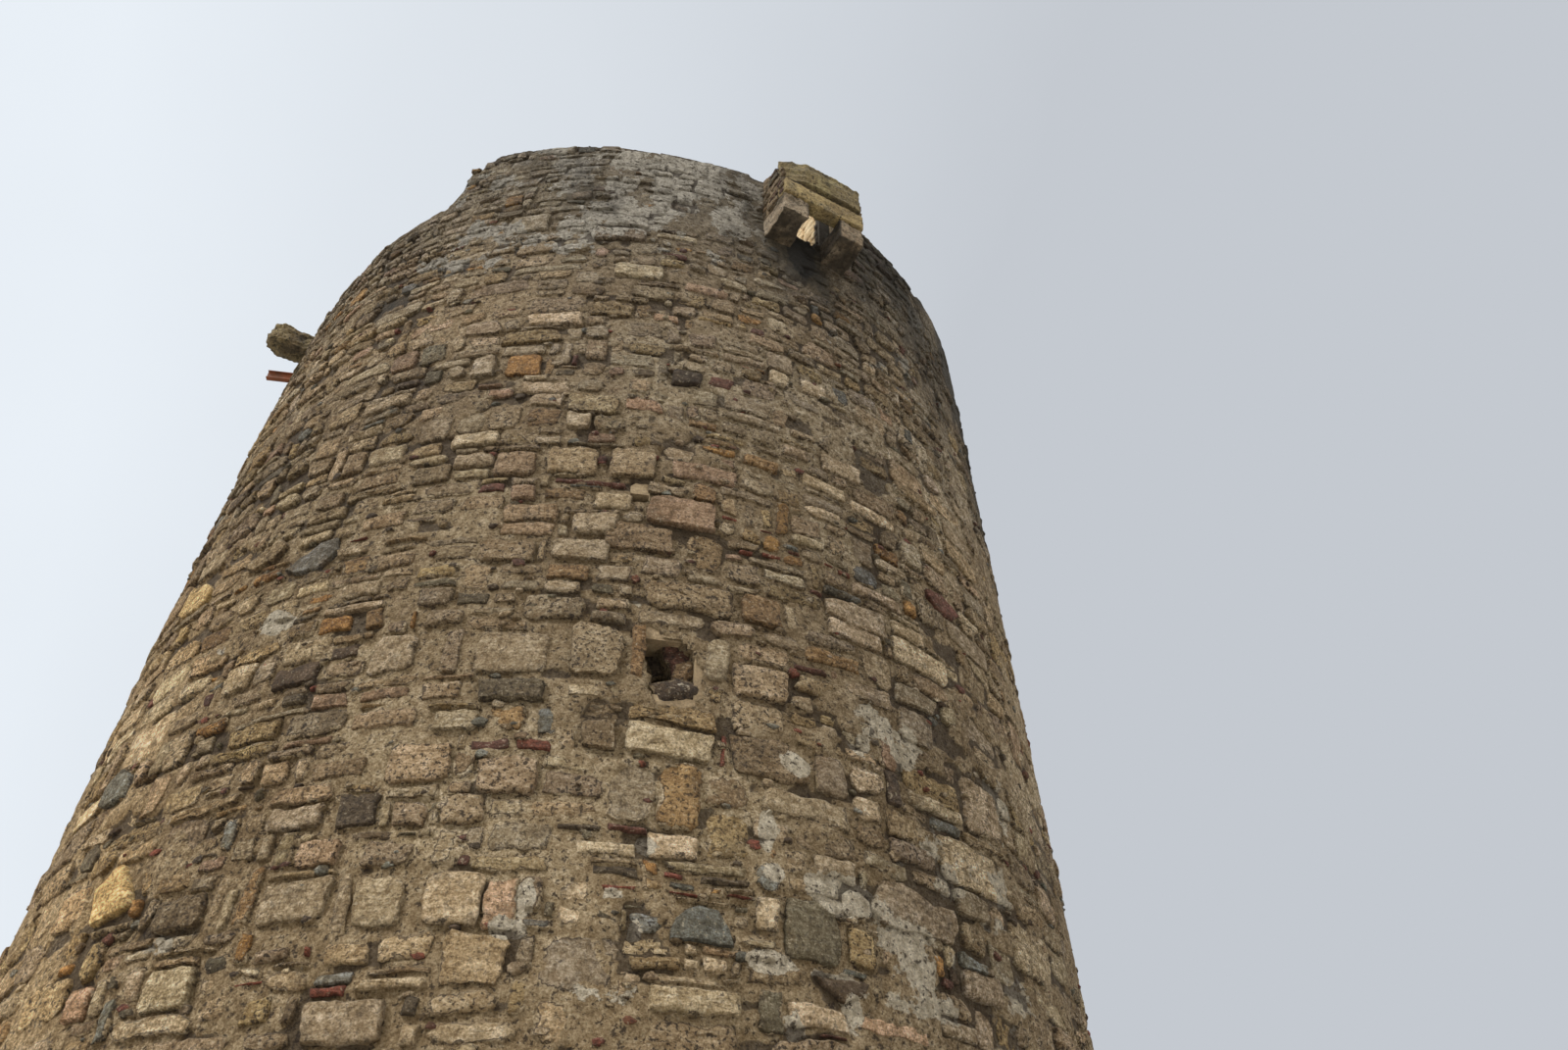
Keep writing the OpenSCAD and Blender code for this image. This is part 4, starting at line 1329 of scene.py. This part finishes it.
# the way through the parapet behind the box: its sides from the box's middle, its sill, the
# wall's radius there, and the directions between which the face is left open
WAY_LEFT, WAY_RIGHT, WAY_SILL, WAY_RADIUS = 0.298, 0.163, 11.35, 3.76
WAY_START = BOX_DEG - math.degrees(WAY_LEFT / WAY_RADIUS) - 0.4
WAY_END = BOX_DEG + math.degrees(WAY_RIGHT / WAY_RADIUS) + 0.7
# the part of the face that the photograph shows
VISIBLE = (-71.0, 64.0)
VISIBLE_LOW = 3.3


def flat_rect(rect):
    """A rectangle on the wall, in the coordinates before the courses are warped."""
    us = np.array([rect[0], rect[1], rect[1], rect[0]])
    vs = np.array([rect[2], rect[2], rect[3], rect[3]])
    a, b = unwarp(us, vs)
    return a[[0, 3]].mean(), a[[1, 2]].mean(), b[[0, 1]].mean(), b[[2, 3]].mean()


def wall_blocks():
    """The rectangles of the face in which no courses are laid."""
    blocks = [flat_rect(rect) for _, rect, _ in HERO_STONES]
    us, vs = CAVITY.T
    blocks.append(flat_rect((us.min() - 0.01, us.max() + 0.01, vs.min() - 0.01, vs.max() + 0.01)))
    gaps = [(deg, -w, w, z - h, z + h) for deg, z, w, h, _ in POCKETS] + [(DOOR_DEG, *DOOR_GAP)]
    for direction, left, right, low, high in gaps:
        for mid in (along(direction), along(direction) + TAU * R_REF):
            blocks.append((mid + left, mid + right, low, high))
    blocks.append((along(WAY_START), along(WAY_END), WAY_SILL, BODY_TOP + 0.3))
    return blocks


def lay_face(az0, az1, v0, v1, size_at, seed, spacing, detail, name, count):
    """Lays one stretch of the outer face and builds it as count pieces."""
    rng = np.random.default_rng(seed)
    u0, u1 = along(az0), along(az1)

    def ceiling(us):
        return np.minimum(stone_top(us) - 0.015, v1)

    blocks = wall_blocks()
    places = grow(lay(u0, u1, v0, ceiling, blocks, size_at, rng), blocks, u0, u1, v0, ceiling)
    groups = {}
    for a, b, low, high in places:
        code = pick(rng, FILL_TONES)
        w, h, mid = b - a, high - low, (a + b) / 2
        if rng.random() < 0.05:
            continue
        if h < 0.075 and w > 0.12 and rng.random() < 0.05:
            code = "r" if rng.random() < 0.6 else "R"
        if (w > 0.34 and code in "OkguB") or (code == "B" and low > 7.5 and rng.random() < 0.7):
            code = "t"
        gap = min(0.004 + 0.013 * rng.random(), 0.2 * min(w, h)) / 2
        irregular, chamfer = 0.04 + 0.13 * rng.random(), 0.08 + 0.2 * rng.random()
        fit = stone_outline(shrunk(a, b, low, high, gap, gap), rng, spacing, irregular, chamfer)
        outline = np.column_stack(fine_warp(*warp(*fit.T)))
        pits = min(1.0, max(0.0, PITS.get(code, 0.3) + rng.normal(0.0, 0.2)))
        key = min(count - 1, int((mid - u0) / ((u1 - u0) / count)))
        height = stone_height(math.degrees(mid / R_REF), rng, code)
        groups.setdefault(key, Stones(outer, seed + key)).add(
            outline, height, stone_tone(rng, code), pits, 0.006 + 0.010 * rng.random(),
            detail + (1 if w > 0.4 and detail > 1 else 0), dome=0.02 + 0.16 * rng.random(),
        )
    for key in sorted(groups):
        groups[key].build(f"{name}_{key + 1}", RUBBLE, sink=0.021)


def hero_light(rect):
    """The pale traced stones stand out most at mid height."""
    return 1.08 + 0.17 * float(smooth(5.8, 7.2, (rect[2] + rect[3]) / 2))


def lay_heroes():
    rng = np.random.default_rng(77)
    stones = Stones(outer, 78)
    for outline, rect, code in HERO_STONES:
        az = math.degrees((rect[0] + rect[1]) / 2 / R_REF)
        large = min(rect[1] - rect[0], rect[3] - rect[2]) > LARGE
        stones.add(
            np.column_stack(fine_warp(*outline.T)),
            stone_height(az, rng, code) + (0.013 if large else 0.006),
            stone_tone(rng, code) * (hero_light(rect) if code in "wpn" else 1.05),
            PITS.get(code, 0.25), 0.007 + 0.008 * rng.random(), 3 if large else 2, dome=0.08,
        )
        stones.tones[-1][:, 3] *= 0.4
    stones.build("stones_traced", RUBBLE)


def scatter_pinnings():
    """Chips and pebbles pressed into the joints."""
    rng = np.random.default_rng(909)
    stones = Stones(outer, 910)
    corners = 7
    for _ in range(950):
        u = along(rng.uniform(*VISIBLE))
        v = rng.uniform(VISIBLE_LOW, 11.3)
        if hole_depth(np.array([u]), np.array([v]))[0] > 0.0:
            continue
        size = 0.016 + 0.02 * rng.random()
        angles = (np.arange(corners) + rng.random(corners) * 0.5) / corners * TAU
        reach = size * (0.7 + 0.5 * rng.random(corners))
        outline = np.column_stack([u + reach * 1.5 * np.cos(angles), v + reach * np.sin(angles)])
        code = pick(rng, "mpndurBgRb")
        height = 0.024 + 0.012 * rng.random()
        stones.add(outline, height, stone_tone(rng, code), 0.2, 0.006, 1)
    stones.build("stones_pinnings", RUBBLE)


def flat_top(height):
    """A slab's top at one height all along."""
    return lambda us: np.full(np.shape(us), height)


lay_face(*VISIBLE, VISIBLE_LOW, HIGHEST, visible_size, 1001, 0.047, 2, "stones_front", 6)
lay_heroes()
scatter_pinnings()
lay_face(*VISIBLE, 0.02, VISIBLE_LOW, back_size, 2002, 0.11, 1, "stones_foot", 3)
lay_face(VISIBLE[1], 360.0 + VISIBLE[0], 0.02, HIGHEST, back_size, 3003, 0.11, 1, "stones_back", 6)

FINE, COARSE = (0.032, 8), (0.1, 4)  # size of a slab's cells, and how many of them its back joins
# rows of cells beside the way and under it, so that the slabs' edges agree where they meet
SIDE_ROWS, WAY_ROWS = 272, 248
way_sill = flat_top(VISIBLE_LOW + (BODY_TOP - VISIBLE_LOW) * WAY_ROWS / SIDE_ROWS)
skin("front_left", VISIBLE[0], -4.0, VISIBLE_LOW, full_top, *FINE)
skin("front_middle", -4.0, WAY_START, VISIBLE_LOW, full_top, *FINE)
skin("under_way", WAY_START, WAY_END, VISIBLE_LOW, way_sill, *FINE)
skin("front_right", WAY_END, VISIBLE[1], VISIBLE_LOW, full_top, *FINE)
skin("foot", *VISIBLE, 0.0, flat_top(VISIBLE_LOW), *COARSE)
skin("back", VISIBLE[1], 260.0, 0.0, full_top, *COARSE)
skin("door_side", -80.0, VISIBLE[0], 0.0, full_top, *COARSE)
skin("under_door", -100.0, -80.0, 0.0, flat_top(5.5), *COARSE)
skin("over_door", -100.0, -80.0, DOOR_GAP[3], full_top, *COARSE)

# ---------------------------------------------------------------- the cavity's loose stones

# Stones in the cavity: tone, how far their face lies behind the wall's, and the corner pixels.
CAVITY_STONES = """
r 0.09 671 650 690 653 707 667 714 690 700 700 688 692 678 674
o 0.06 690 678 706 674 713 690 696 702 684 696
b 0.02 661 699 689 693 716 699 715 713 698 719 671 716
d 0.22 654 664 672 655 686 690 664 696
u 0.16 658 640 680 646 676 660 660 656
"""


def cavity_stones():
    rng = np.random.default_rng(5)
    for number, (code, depth, *pixels) in enumerate(rows_of(CAVITY_STONES)):
        depth = float(depth)
        corners = [hit(x, y, -depth) for x, y in np.array(pixels, float).reshape(-1, 2)]
        stones = Stones(lambda u, v, h, depth=depth: outer(u, v, h - depth), 6 + number)
        outline = resample(np.array(corners), 0.035, rng)
        stones.add(outline, 0.02, stone_tone(rng, code), 0.7, 0.02, 3, -0.12, dome=0.9)
        stones.build(f"stone_in_cavity_{number + 1}", RUBBLE, shade=False)


cavity_stones()

# ---------------------------------------------------------------- the parapet's inner face and top


def lay_inner():
    """The parapet's inner face, open where the way to the box is."""
    rng = np.random.default_rng(606)
    stones = Stones(inner, 607)
    blocks = [(-along(BOX_DEG) - 0.40, -along(BOX_DEG) + 0.40, 11.2, 12.3)]
    places = lay(
        -math.pi * R_REF, math.pi * R_REF, TERRACE_Z, lambda us: full_top(-us) - 0.03, blocks,
        lambda u, v: (0.34, 0.19), rng,
    )
    for rect in places:
        code = pick(rng, FILL_TONES)
        fit = stone_outline(shrunk(*rect, 0.01, 0.01), rng, 0.12)
        stones.add(fit, 0.02 + 0.015 * rng.random(), stone_tone(rng, code), 0.3, 0.02, 1)
    stones.build("stones_parapet_inside", RUBBLE)


def lay_ruined_top():
    """Broken stones on top of the ruined stretch."""
    rng = np.random.default_rng(808)
    stones = Stones(wall_top, 809)
    u = along(FAR_BREAK_DEG)
    while u < along(NEAR_BREAK_DEG) - 0.1:
        v = 0.03
        w = 0.14 + 0.16 * rng.random()
        while v < 0.4:
            depth = 0.12 + 0.12 * rng.random()
            code = pick(rng, FILL_TONES)
            rect = (u + 0.01, u + w - 0.01, v, min(v + depth, 0.47))
            fit = stone_outline(rect, rng, 0.08, 0.2, 0.25)
            height = 0.02 + 0.07 * rng.random()
            stones.add(fit, height, stone_tone(rng, code), 0.4, 0.025, 2, -0.06)
            v += depth + 0.015
        u += w
    stones.build("stones_ruined_top", RUBBLE)


lay_inner()
lay_ruined_top()

# ---------------------------------------------------------------- weathered copies of dressed parts


def weathered(node, material, voxel, amount, scale=7.0, shape=None):
    """A remeshed, worn copy of a CAD node, which it stands for."""
    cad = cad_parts[node].data
    source = bpy.data.meshes.new(node + "_source")
    faces = [tuple(face.vertices) for face in cad.polygons]
    source.from_pydata([tuple(vertex.co) for vertex in cad.vertices], [], faces)
    holder = link(source.name, source)
    remesh = holder.modifiers.new("remesh", "REMESH")
    remesh.mode = "VOXEL"
    remesh.voxel_size = voxel
    graph = bpy.context.evaluated_depsgraph_get()
    made = bpy.data.meshes.new_from_object(holder.evaluated_get(graph))
    made.name = "worn_" + node
    bpy.data.objects.remove(holder)
    co = coords(made)
    wear = amount * (0.9 * fbm(co, scale, 3, 91) + 0.6 * fbm(co, scale * 4.0, 2, 92) - 0.35)
    co = co + coords(made, "normal") * wear[:, None]
    if shape:
        co = shape(co)
    made.vertices.foreach_set("co", co.ravel())
    made.polygons.foreach_set("use_smooth", np.ones(len(made.polygons), bool))
    return piece(made, material, node)


def moved_copy(node, name, material, move):
    """A copy of a CAD node with moved points, which stands for the node."""
    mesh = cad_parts[node].data.copy()
    mesh.name = name
    mesh.vertices.foreach_set("co", move(coords(mesh)).ravel())
    piece(mesh, material, node)


def box_parts(co):
    """Across, out and up in the box's own directions."""
    turn = math.radians(BOX_DEG)
    across = co[:, 0] * math.cos(turn) + co[:, 1] * math.sin(turn)
    out = co[:, 0] * math.sin(turn) - co[:, 1] * math.cos(turn)
    return across, out, co[:, 2]


def box_place(across, out, up):
    """The points with these measures in the box's own directions."""
    turn = math.radians(BOX_DEG)
    x = across * math.cos(turn) + out * math.sin(turn)
    y = across * math.sin(turn) - out * math.cos(turn)
    return np.stack([x, y, up + 0.0 * x], -1)


def eroded_layers(co, depth):
    """Beds of unequal hardness: the front wears back in bands."""
    across, out, up = box_parts(co)
    beds = np.stack([across * 2.3, out * 2.3, up * 34.0], -1)
    wear = depth * (0.6 + 0.7 * value_noise(beds, 96) + 0.5 * value_noise(beds * 2.1, 97))
    return box_place(across, out - wear * smooth(3.95, 4.1, out), up)


def shape_top_course(co):
    """The top stands higher than its neighbours and is broken at the left end."""
    co = eroded_layers(co, 0.022)
    across, out, up = box_parts(co)
    ragged = 0.02 * value_noise(co * 11.0, 98)
    lift = 0.058 + 0.025 * smooth(-0.25, -0.42, across) - 0.03 * smooth(0.2, 0.42, across)
    return box_place(across, out, up + (lift + ragged) * smooth(11.82, 11.93, up))


def shape_course(co):
    return eroded_layers(co, 0.03)


def shape_corbel_left(co):
    """A hollow worn into the underside and the inner side."""
    across, out, up = box_parts(co)
    hollow = smooth(0.17, 0.0, np.hypot(np.hypot(across + 0.19, out - 4.02), (up - 11.06) * 0.8))
    return box_place(across - 0.03 * hollow, out, up + 0.045 * hollow)


def shape_cheek(co):
    across, out, up = box_parts(co)
    return box_place(across, out, up + 0.03 * smooth(11.7, 11.85, up) * smooth(3.85, 4.0, out))


for node, stone, wear, shape in (
    ("corbel_left", CORBEL_STONE, 0.016, shape_corbel_left),
    ("corbel_right", CORBEL_STONE, 0.016, None), ("box_lintel", LINTEL_STONE, 0.009, None),
    ("box_course", DARK_STONE, 0.012, shape_course),
    ("box_top_course", TOP_STONE, 0.010, shape_top_course),
    ("box_cheek_left", CHEEK_STONE, 0.012, shape_cheek),
    ("box_cheek_right", CHEEK_STONE, 0.012, shape_cheek),
    ("box_threshold", CORBEL_STONE, 0.012, None),
):
    weathered(node, stone, 0.016, wear, 9.0, shape)


def short_courses(rng, start, turn_back, end, low, high, heights, lengths):
    """The (near, far, bottom, height) of stones in short courses, out from start to end.

    No stone begins beyond turn_back; heights and lengths: the least, and how much more at most.
    """
    v = low
    while v < high:
        height = heights[0] + heights[1] * rng.random()
        u = start
        while u < turn_back:
            far = min(u + lengths[0] + lengths[1] * rng.random(), end)
            if far - u > 0.05:
                yield u, far, v, height
            u = far
        v += height


def cheek_stones(side, name):
    """Small rubble stones on the outer side of a cheek; side: -1 left, 1 right."""
    rng = np.random.default_rng(44 + side)
    stones = Stones(lambda u, v, h: box_place(side * (0.436 + h), -side * u, v), 45)
    for u, far, v, height in short_courses(
        rng, 3.72, 4.1, 4.14, 11.37, 11.93, (0.07, 0.05), (0.10, 0.12)
    ):
        if v + height < 12.03 - 0.5 * (u - 3.72):
            rect = shrunk(*sorted((-side * u, -side * far)), v, v + height, 0.006, 0.005)
            fit = stone_outline(rect, rng, 0.03, 0.16, 0.2)
            code = pick(rng, "tmunpgro")
            proud = 0.006 + 0.010 * rng.random()
            stones.add(fit, proud, stone_tone(rng, code) * 0.9, 0.6, 0.008, 2)
    stones.build(name, RUBBLE, shade=False)


def way_jamb(side, name, rng, face):
    """Courses of stone on one side of the way through the parapet, face from the box's middle."""
    stones = Stones(lambda u, v, h: box_place(side * (face - h), side * u, v), 62)
    for u, far, v, height in short_courses(
        rng, 3.27, 3.7, 3.745, WAY_SILL - 0.02, BODY_TOP + 0.02, (0.05, 0.06), (0.10, 0.14)
    ):
        rect = shrunk(*sorted((side * u, side * far)), v, v + height, 0.002, 0.001)
        fit = stone_outline(rect, rng, 0.04, 0.08, 0.12)
        stones.add(fit, 0.008 + 0.007 * rng.random(), (1.0, 1.0, 1.0), 0.5, 0.008, 2)
    stones.build(name, JAMB_STONE, shade=False)


def jamb_core(rng, face, back):
    """The mortared core of the right jamb, between face and back from the box's middle."""
    outs, ups = np.linspace(3.26, 3.768, 9), np.linspace(WAY_SILL - 0.06, BODY_TOP + 0.12, 13)
    out, up = (grid.ravel() for grid in np.meshgrid(outs, ups))
    rough = 0.006 * rng.random(len(out))
    sides = [box_place(face + rough, out, up), box_place(back + 0.0 * out, out, up)]
    faces = slab_faces(len(outs) - 1, len(ups) - 1)
    new_piece("jamb_right", np.vstack(sides), faces, JAMB_STONE, 35, {})


JAMB_DEPTH = 0.016  # how far the right jamb's core lies behind the faces of its stones
cheek_stones(-1, "stones_cheek_left")
cheek_stones(1, "stones_cheek_right")
way_jamb(-1, "stones_jamb_left", np.random.default_rng(59), WAY_LEFT)
jamb_rng = np.random.default_rng(61)
jamb_core(jamb_rng, WAY_RIGHT + JAMB_DEPTH, 0.30)
way_jamb(1, "stones_jamb_right", jamb_rng, WAY_RIGHT + JAMB_DEPTH)


def shape_stub(co):
    """The broken end is thicker than its root, and lies a little higher."""
    radius = np.hypot(co[:, 0], co[:, 1])
    tip = smooth(3.84, 4.0, radius)[:, None]
    middle = co[radius > 3.95].mean(0)
    away = np.array([middle[0], middle[1], 0.0]) / np.hypot(middle[0], middle[1])
    return co + tip * ((co - middle) * 0.10 + (0.0, 0.0, 0.026) + 0.03 * away)


BEAM_CUT = 0.105
BEAM_END = 0.12  # points less than this behind an end belong to it


def shorten_beam(co):
    """The beam as far out as the photograph shows it: its end lies short of the corbels' ends."""
    radius = np.hypot(co[:, 0], co[:, 1])
    end = radius > radius.max() - BEAM_END
    way = co[end].mean(0) - co[radius < radius.min() + BEAM_END].mean(0)
    co[end] -= way / np.linalg.norm(way) * BEAM_CUT
    return co


moved_copy("iron_beam", "rusty_beam", iron_material(), shorten_beam)
for node in ("stub_corbel_near", "stub_corbel_far"):
    weathered(node, STUB_STONE, 0.014, 0.034, 9.0, shape_stub)
weathered("door_arch", SANDSTONE, 0.024, 0.008)
weathered("door_sill", SANDSTONE, 0.024, 0.012)


def raise_capping(co):
    """The wall's top edge rises and falls as the photograph shows."""
    az = rim_direction(np.degrees(np.arctan2(co[:, 0], -co[:, 1])))
    share = smooth(BODY_TOP + 0.002, BODY_TOP + 0.018, co[:, 2])
    rise = share * (table(PARAPET_TOPS, az) - CAPPING_TOP + 0.05)
    return co + rise[:, None] * (0.0, 0.0, 1.0)


for part in ("front", "right", "back_right", "back", "back_left"):
    mesh = weathered("capping_" + part, MORTAR, 0.032, 0.012, 6.0, raise_capping).data
    mixer = (fbm(coords(mesh), 3.0, 3, 95) * 0.5 + 0.5)[:, None]
    paint(mesh, {
        "tone": MORTAR_TONES[1] * mixer + MORTAR_TONES[2] * (1.0 - mixer),
        "mark": np.column_stack([0.25 + 0.2 * mixer, 0.3 * mixer, 0.5 * mixer]),
    })


def lean_in(co):
    """Moves a wall's outer face in by the lean of the stones before it."""
    radius = np.hypot(co[:, 0], co[:, 1])
    outside = radius > BASE_RADIUS - BATTER * co[:, 2] - 0.15
    az = np.degrees(np.arctan2(co[:, 0], -co[:, 1]))
    co[:, :2] *= (1.0 - np.where(outside, lean(az, co[:, 2]), 0.0) / radius)[:, None]
    return co


# ---------------------------------------------------------------- finishes of the CAD nodes

WALL_BACKING = plain_mortar_material(
    "wall backing", ((142, 124, 97), (127, 109, 84), (162, 146, 119))
)
CHAMBER = plain_mortar_material(
    "chamber plaster", ((168, 158, 138), (142, 128, 106), (120, 104, 82)), 0.8
)
VAULTING = masonry_material(
    "vault masonry", ((148, 124, 94), (126, 102, 77), (168, 154, 130)), (0.34, 0.16), 0.014
)
PAVING = masonry_material(
    "terrace paving", ((148, 132, 106), (130, 116, 94), (106, 92, 72)), (0.5, 0.4), 0.02
)
for node in ("drum", "parapet_ruined_near", "parapet_ruined_far"):
    moved_copy(node, "leaning_" + node, WALL_BACKING, lean_in)
FINISHES = {
    "dome": VAULTING, "passage_vault": VAULTING, "chamber_floor": CHAMBER,
    "terrace_paving": PAVING, "haunch_front": CHAMBER, "haunch_right": CHAMBER,
    "haunch_back": CHAMBER, "haunch_left": CHAMBER,
}
for name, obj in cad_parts.items():
    material = FINISHES.get(name, WALL_BACKING)
    if len(obj.material_slots) == 0:
        obj.data.materials.append(material)
    for slot in obj.material_slots:
        slot.material = material

# ---------------------------------------------------------------- floor, sky, light and camera

FLOOR_REACH = 60.0
floor_mesh = bpy.data.meshes.new("floor")
corners = [(x * FLOOR_REACH, y * FLOOR_REACH, 0) for x, y in ((-1, -1), (1, -1), (1, 1), (-1, 1))]
floor_mesh.from_pydata(corners, [], [(0, 1, 2, 3)])
floor_mesh.materials.append(floor_material())
floor = link("floor", floor_mesh)

SKY_LIGHT = 0.67


def overcast_sky():
    """Even warm light; what the camera sees is a paler sky, brighter on the left."""
    world = bpy.data.worlds.new("overcast")
    bpy.context.scene.world = world
    n = Nodes(world, "Generated")
    light = n.node("Background", {"Color": (1.0, 0.955, 0.875), "Strength": SKY_LIGHT})
    across = n.node("MapRange", {"Value": n.xyz()[0], "From Min": -0.35, "From Max": 0.45})
    share = n.math("MULTIPLY_ADD", n.noise(2.2, 5.0, 0.5), 0.3, across.outputs[0])
    tone = n.mix(share, linear((238, 245, 252)), linear((196, 201, 208)))
    seen = n.node("Background", {"Color": tone, "Strength": 1.0})
    path = n.node("LightPath").outputs
    rays = [path[f"Is {kind} Ray"] for kind in ("Camera", "Glossy", "Transmission")]
    choice = {0: n.fold("MAXIMUM", rays), 1: light.outputs[0], 2: seen.outputs[0]}
    n.node("OutputWorld", {"Surface": n.node("MixShader", choice).outputs[0]})


def soft_sun(name, direction, height, energy, spread):
    """A broad distant lamp; direction from the front towards +X, both angles in degrees."""
    sun = bpy.data.lights.new(name, "SUN")
    sun.energy = energy
    sun.angle = math.radians(spread)
    sun.color = (1.0, 0.975, 0.93)
    a, e = math.radians(direction), math.radians(height)
    towards = Vector((math.sin(a) * math.cos(e), -math.cos(a) * math.cos(e), math.sin(e)))
    obj = link(name, sun)
    obj.rotation_mode = "QUATERNION"
    obj.rotation_quaternion = towards.to_track_quat("Z", "Y")


overcast_sky()
soft_sun("soft_sun", -66.0, 48.0, 2.9, 14.0)
soft_sun("second_lamp", 35.0, 50.0, 0.9, 30.0)

SENSOR_WIDTH = 36.0
camera_data = bpy.data.cameras.new("camera")
camera_data.sensor_width = SENSOR_WIDTH
camera_data.lens = SENSOR_WIDTH * FOCAL_PX / IMAGE_W
camera_data.clip_end = 500.0
camera = link("camera", camera_data)
turn = Matrix((Vector(RIGHT), Vector(UP), Vector(-FORWARD))).transposed().to_4x4()
camera.matrix_world = Matrix.Translation(Vector(EYE)) @ turn
bpy.context.scene.camera = camera
bpy.context.scene.view_settings.view_transform = "Standard"
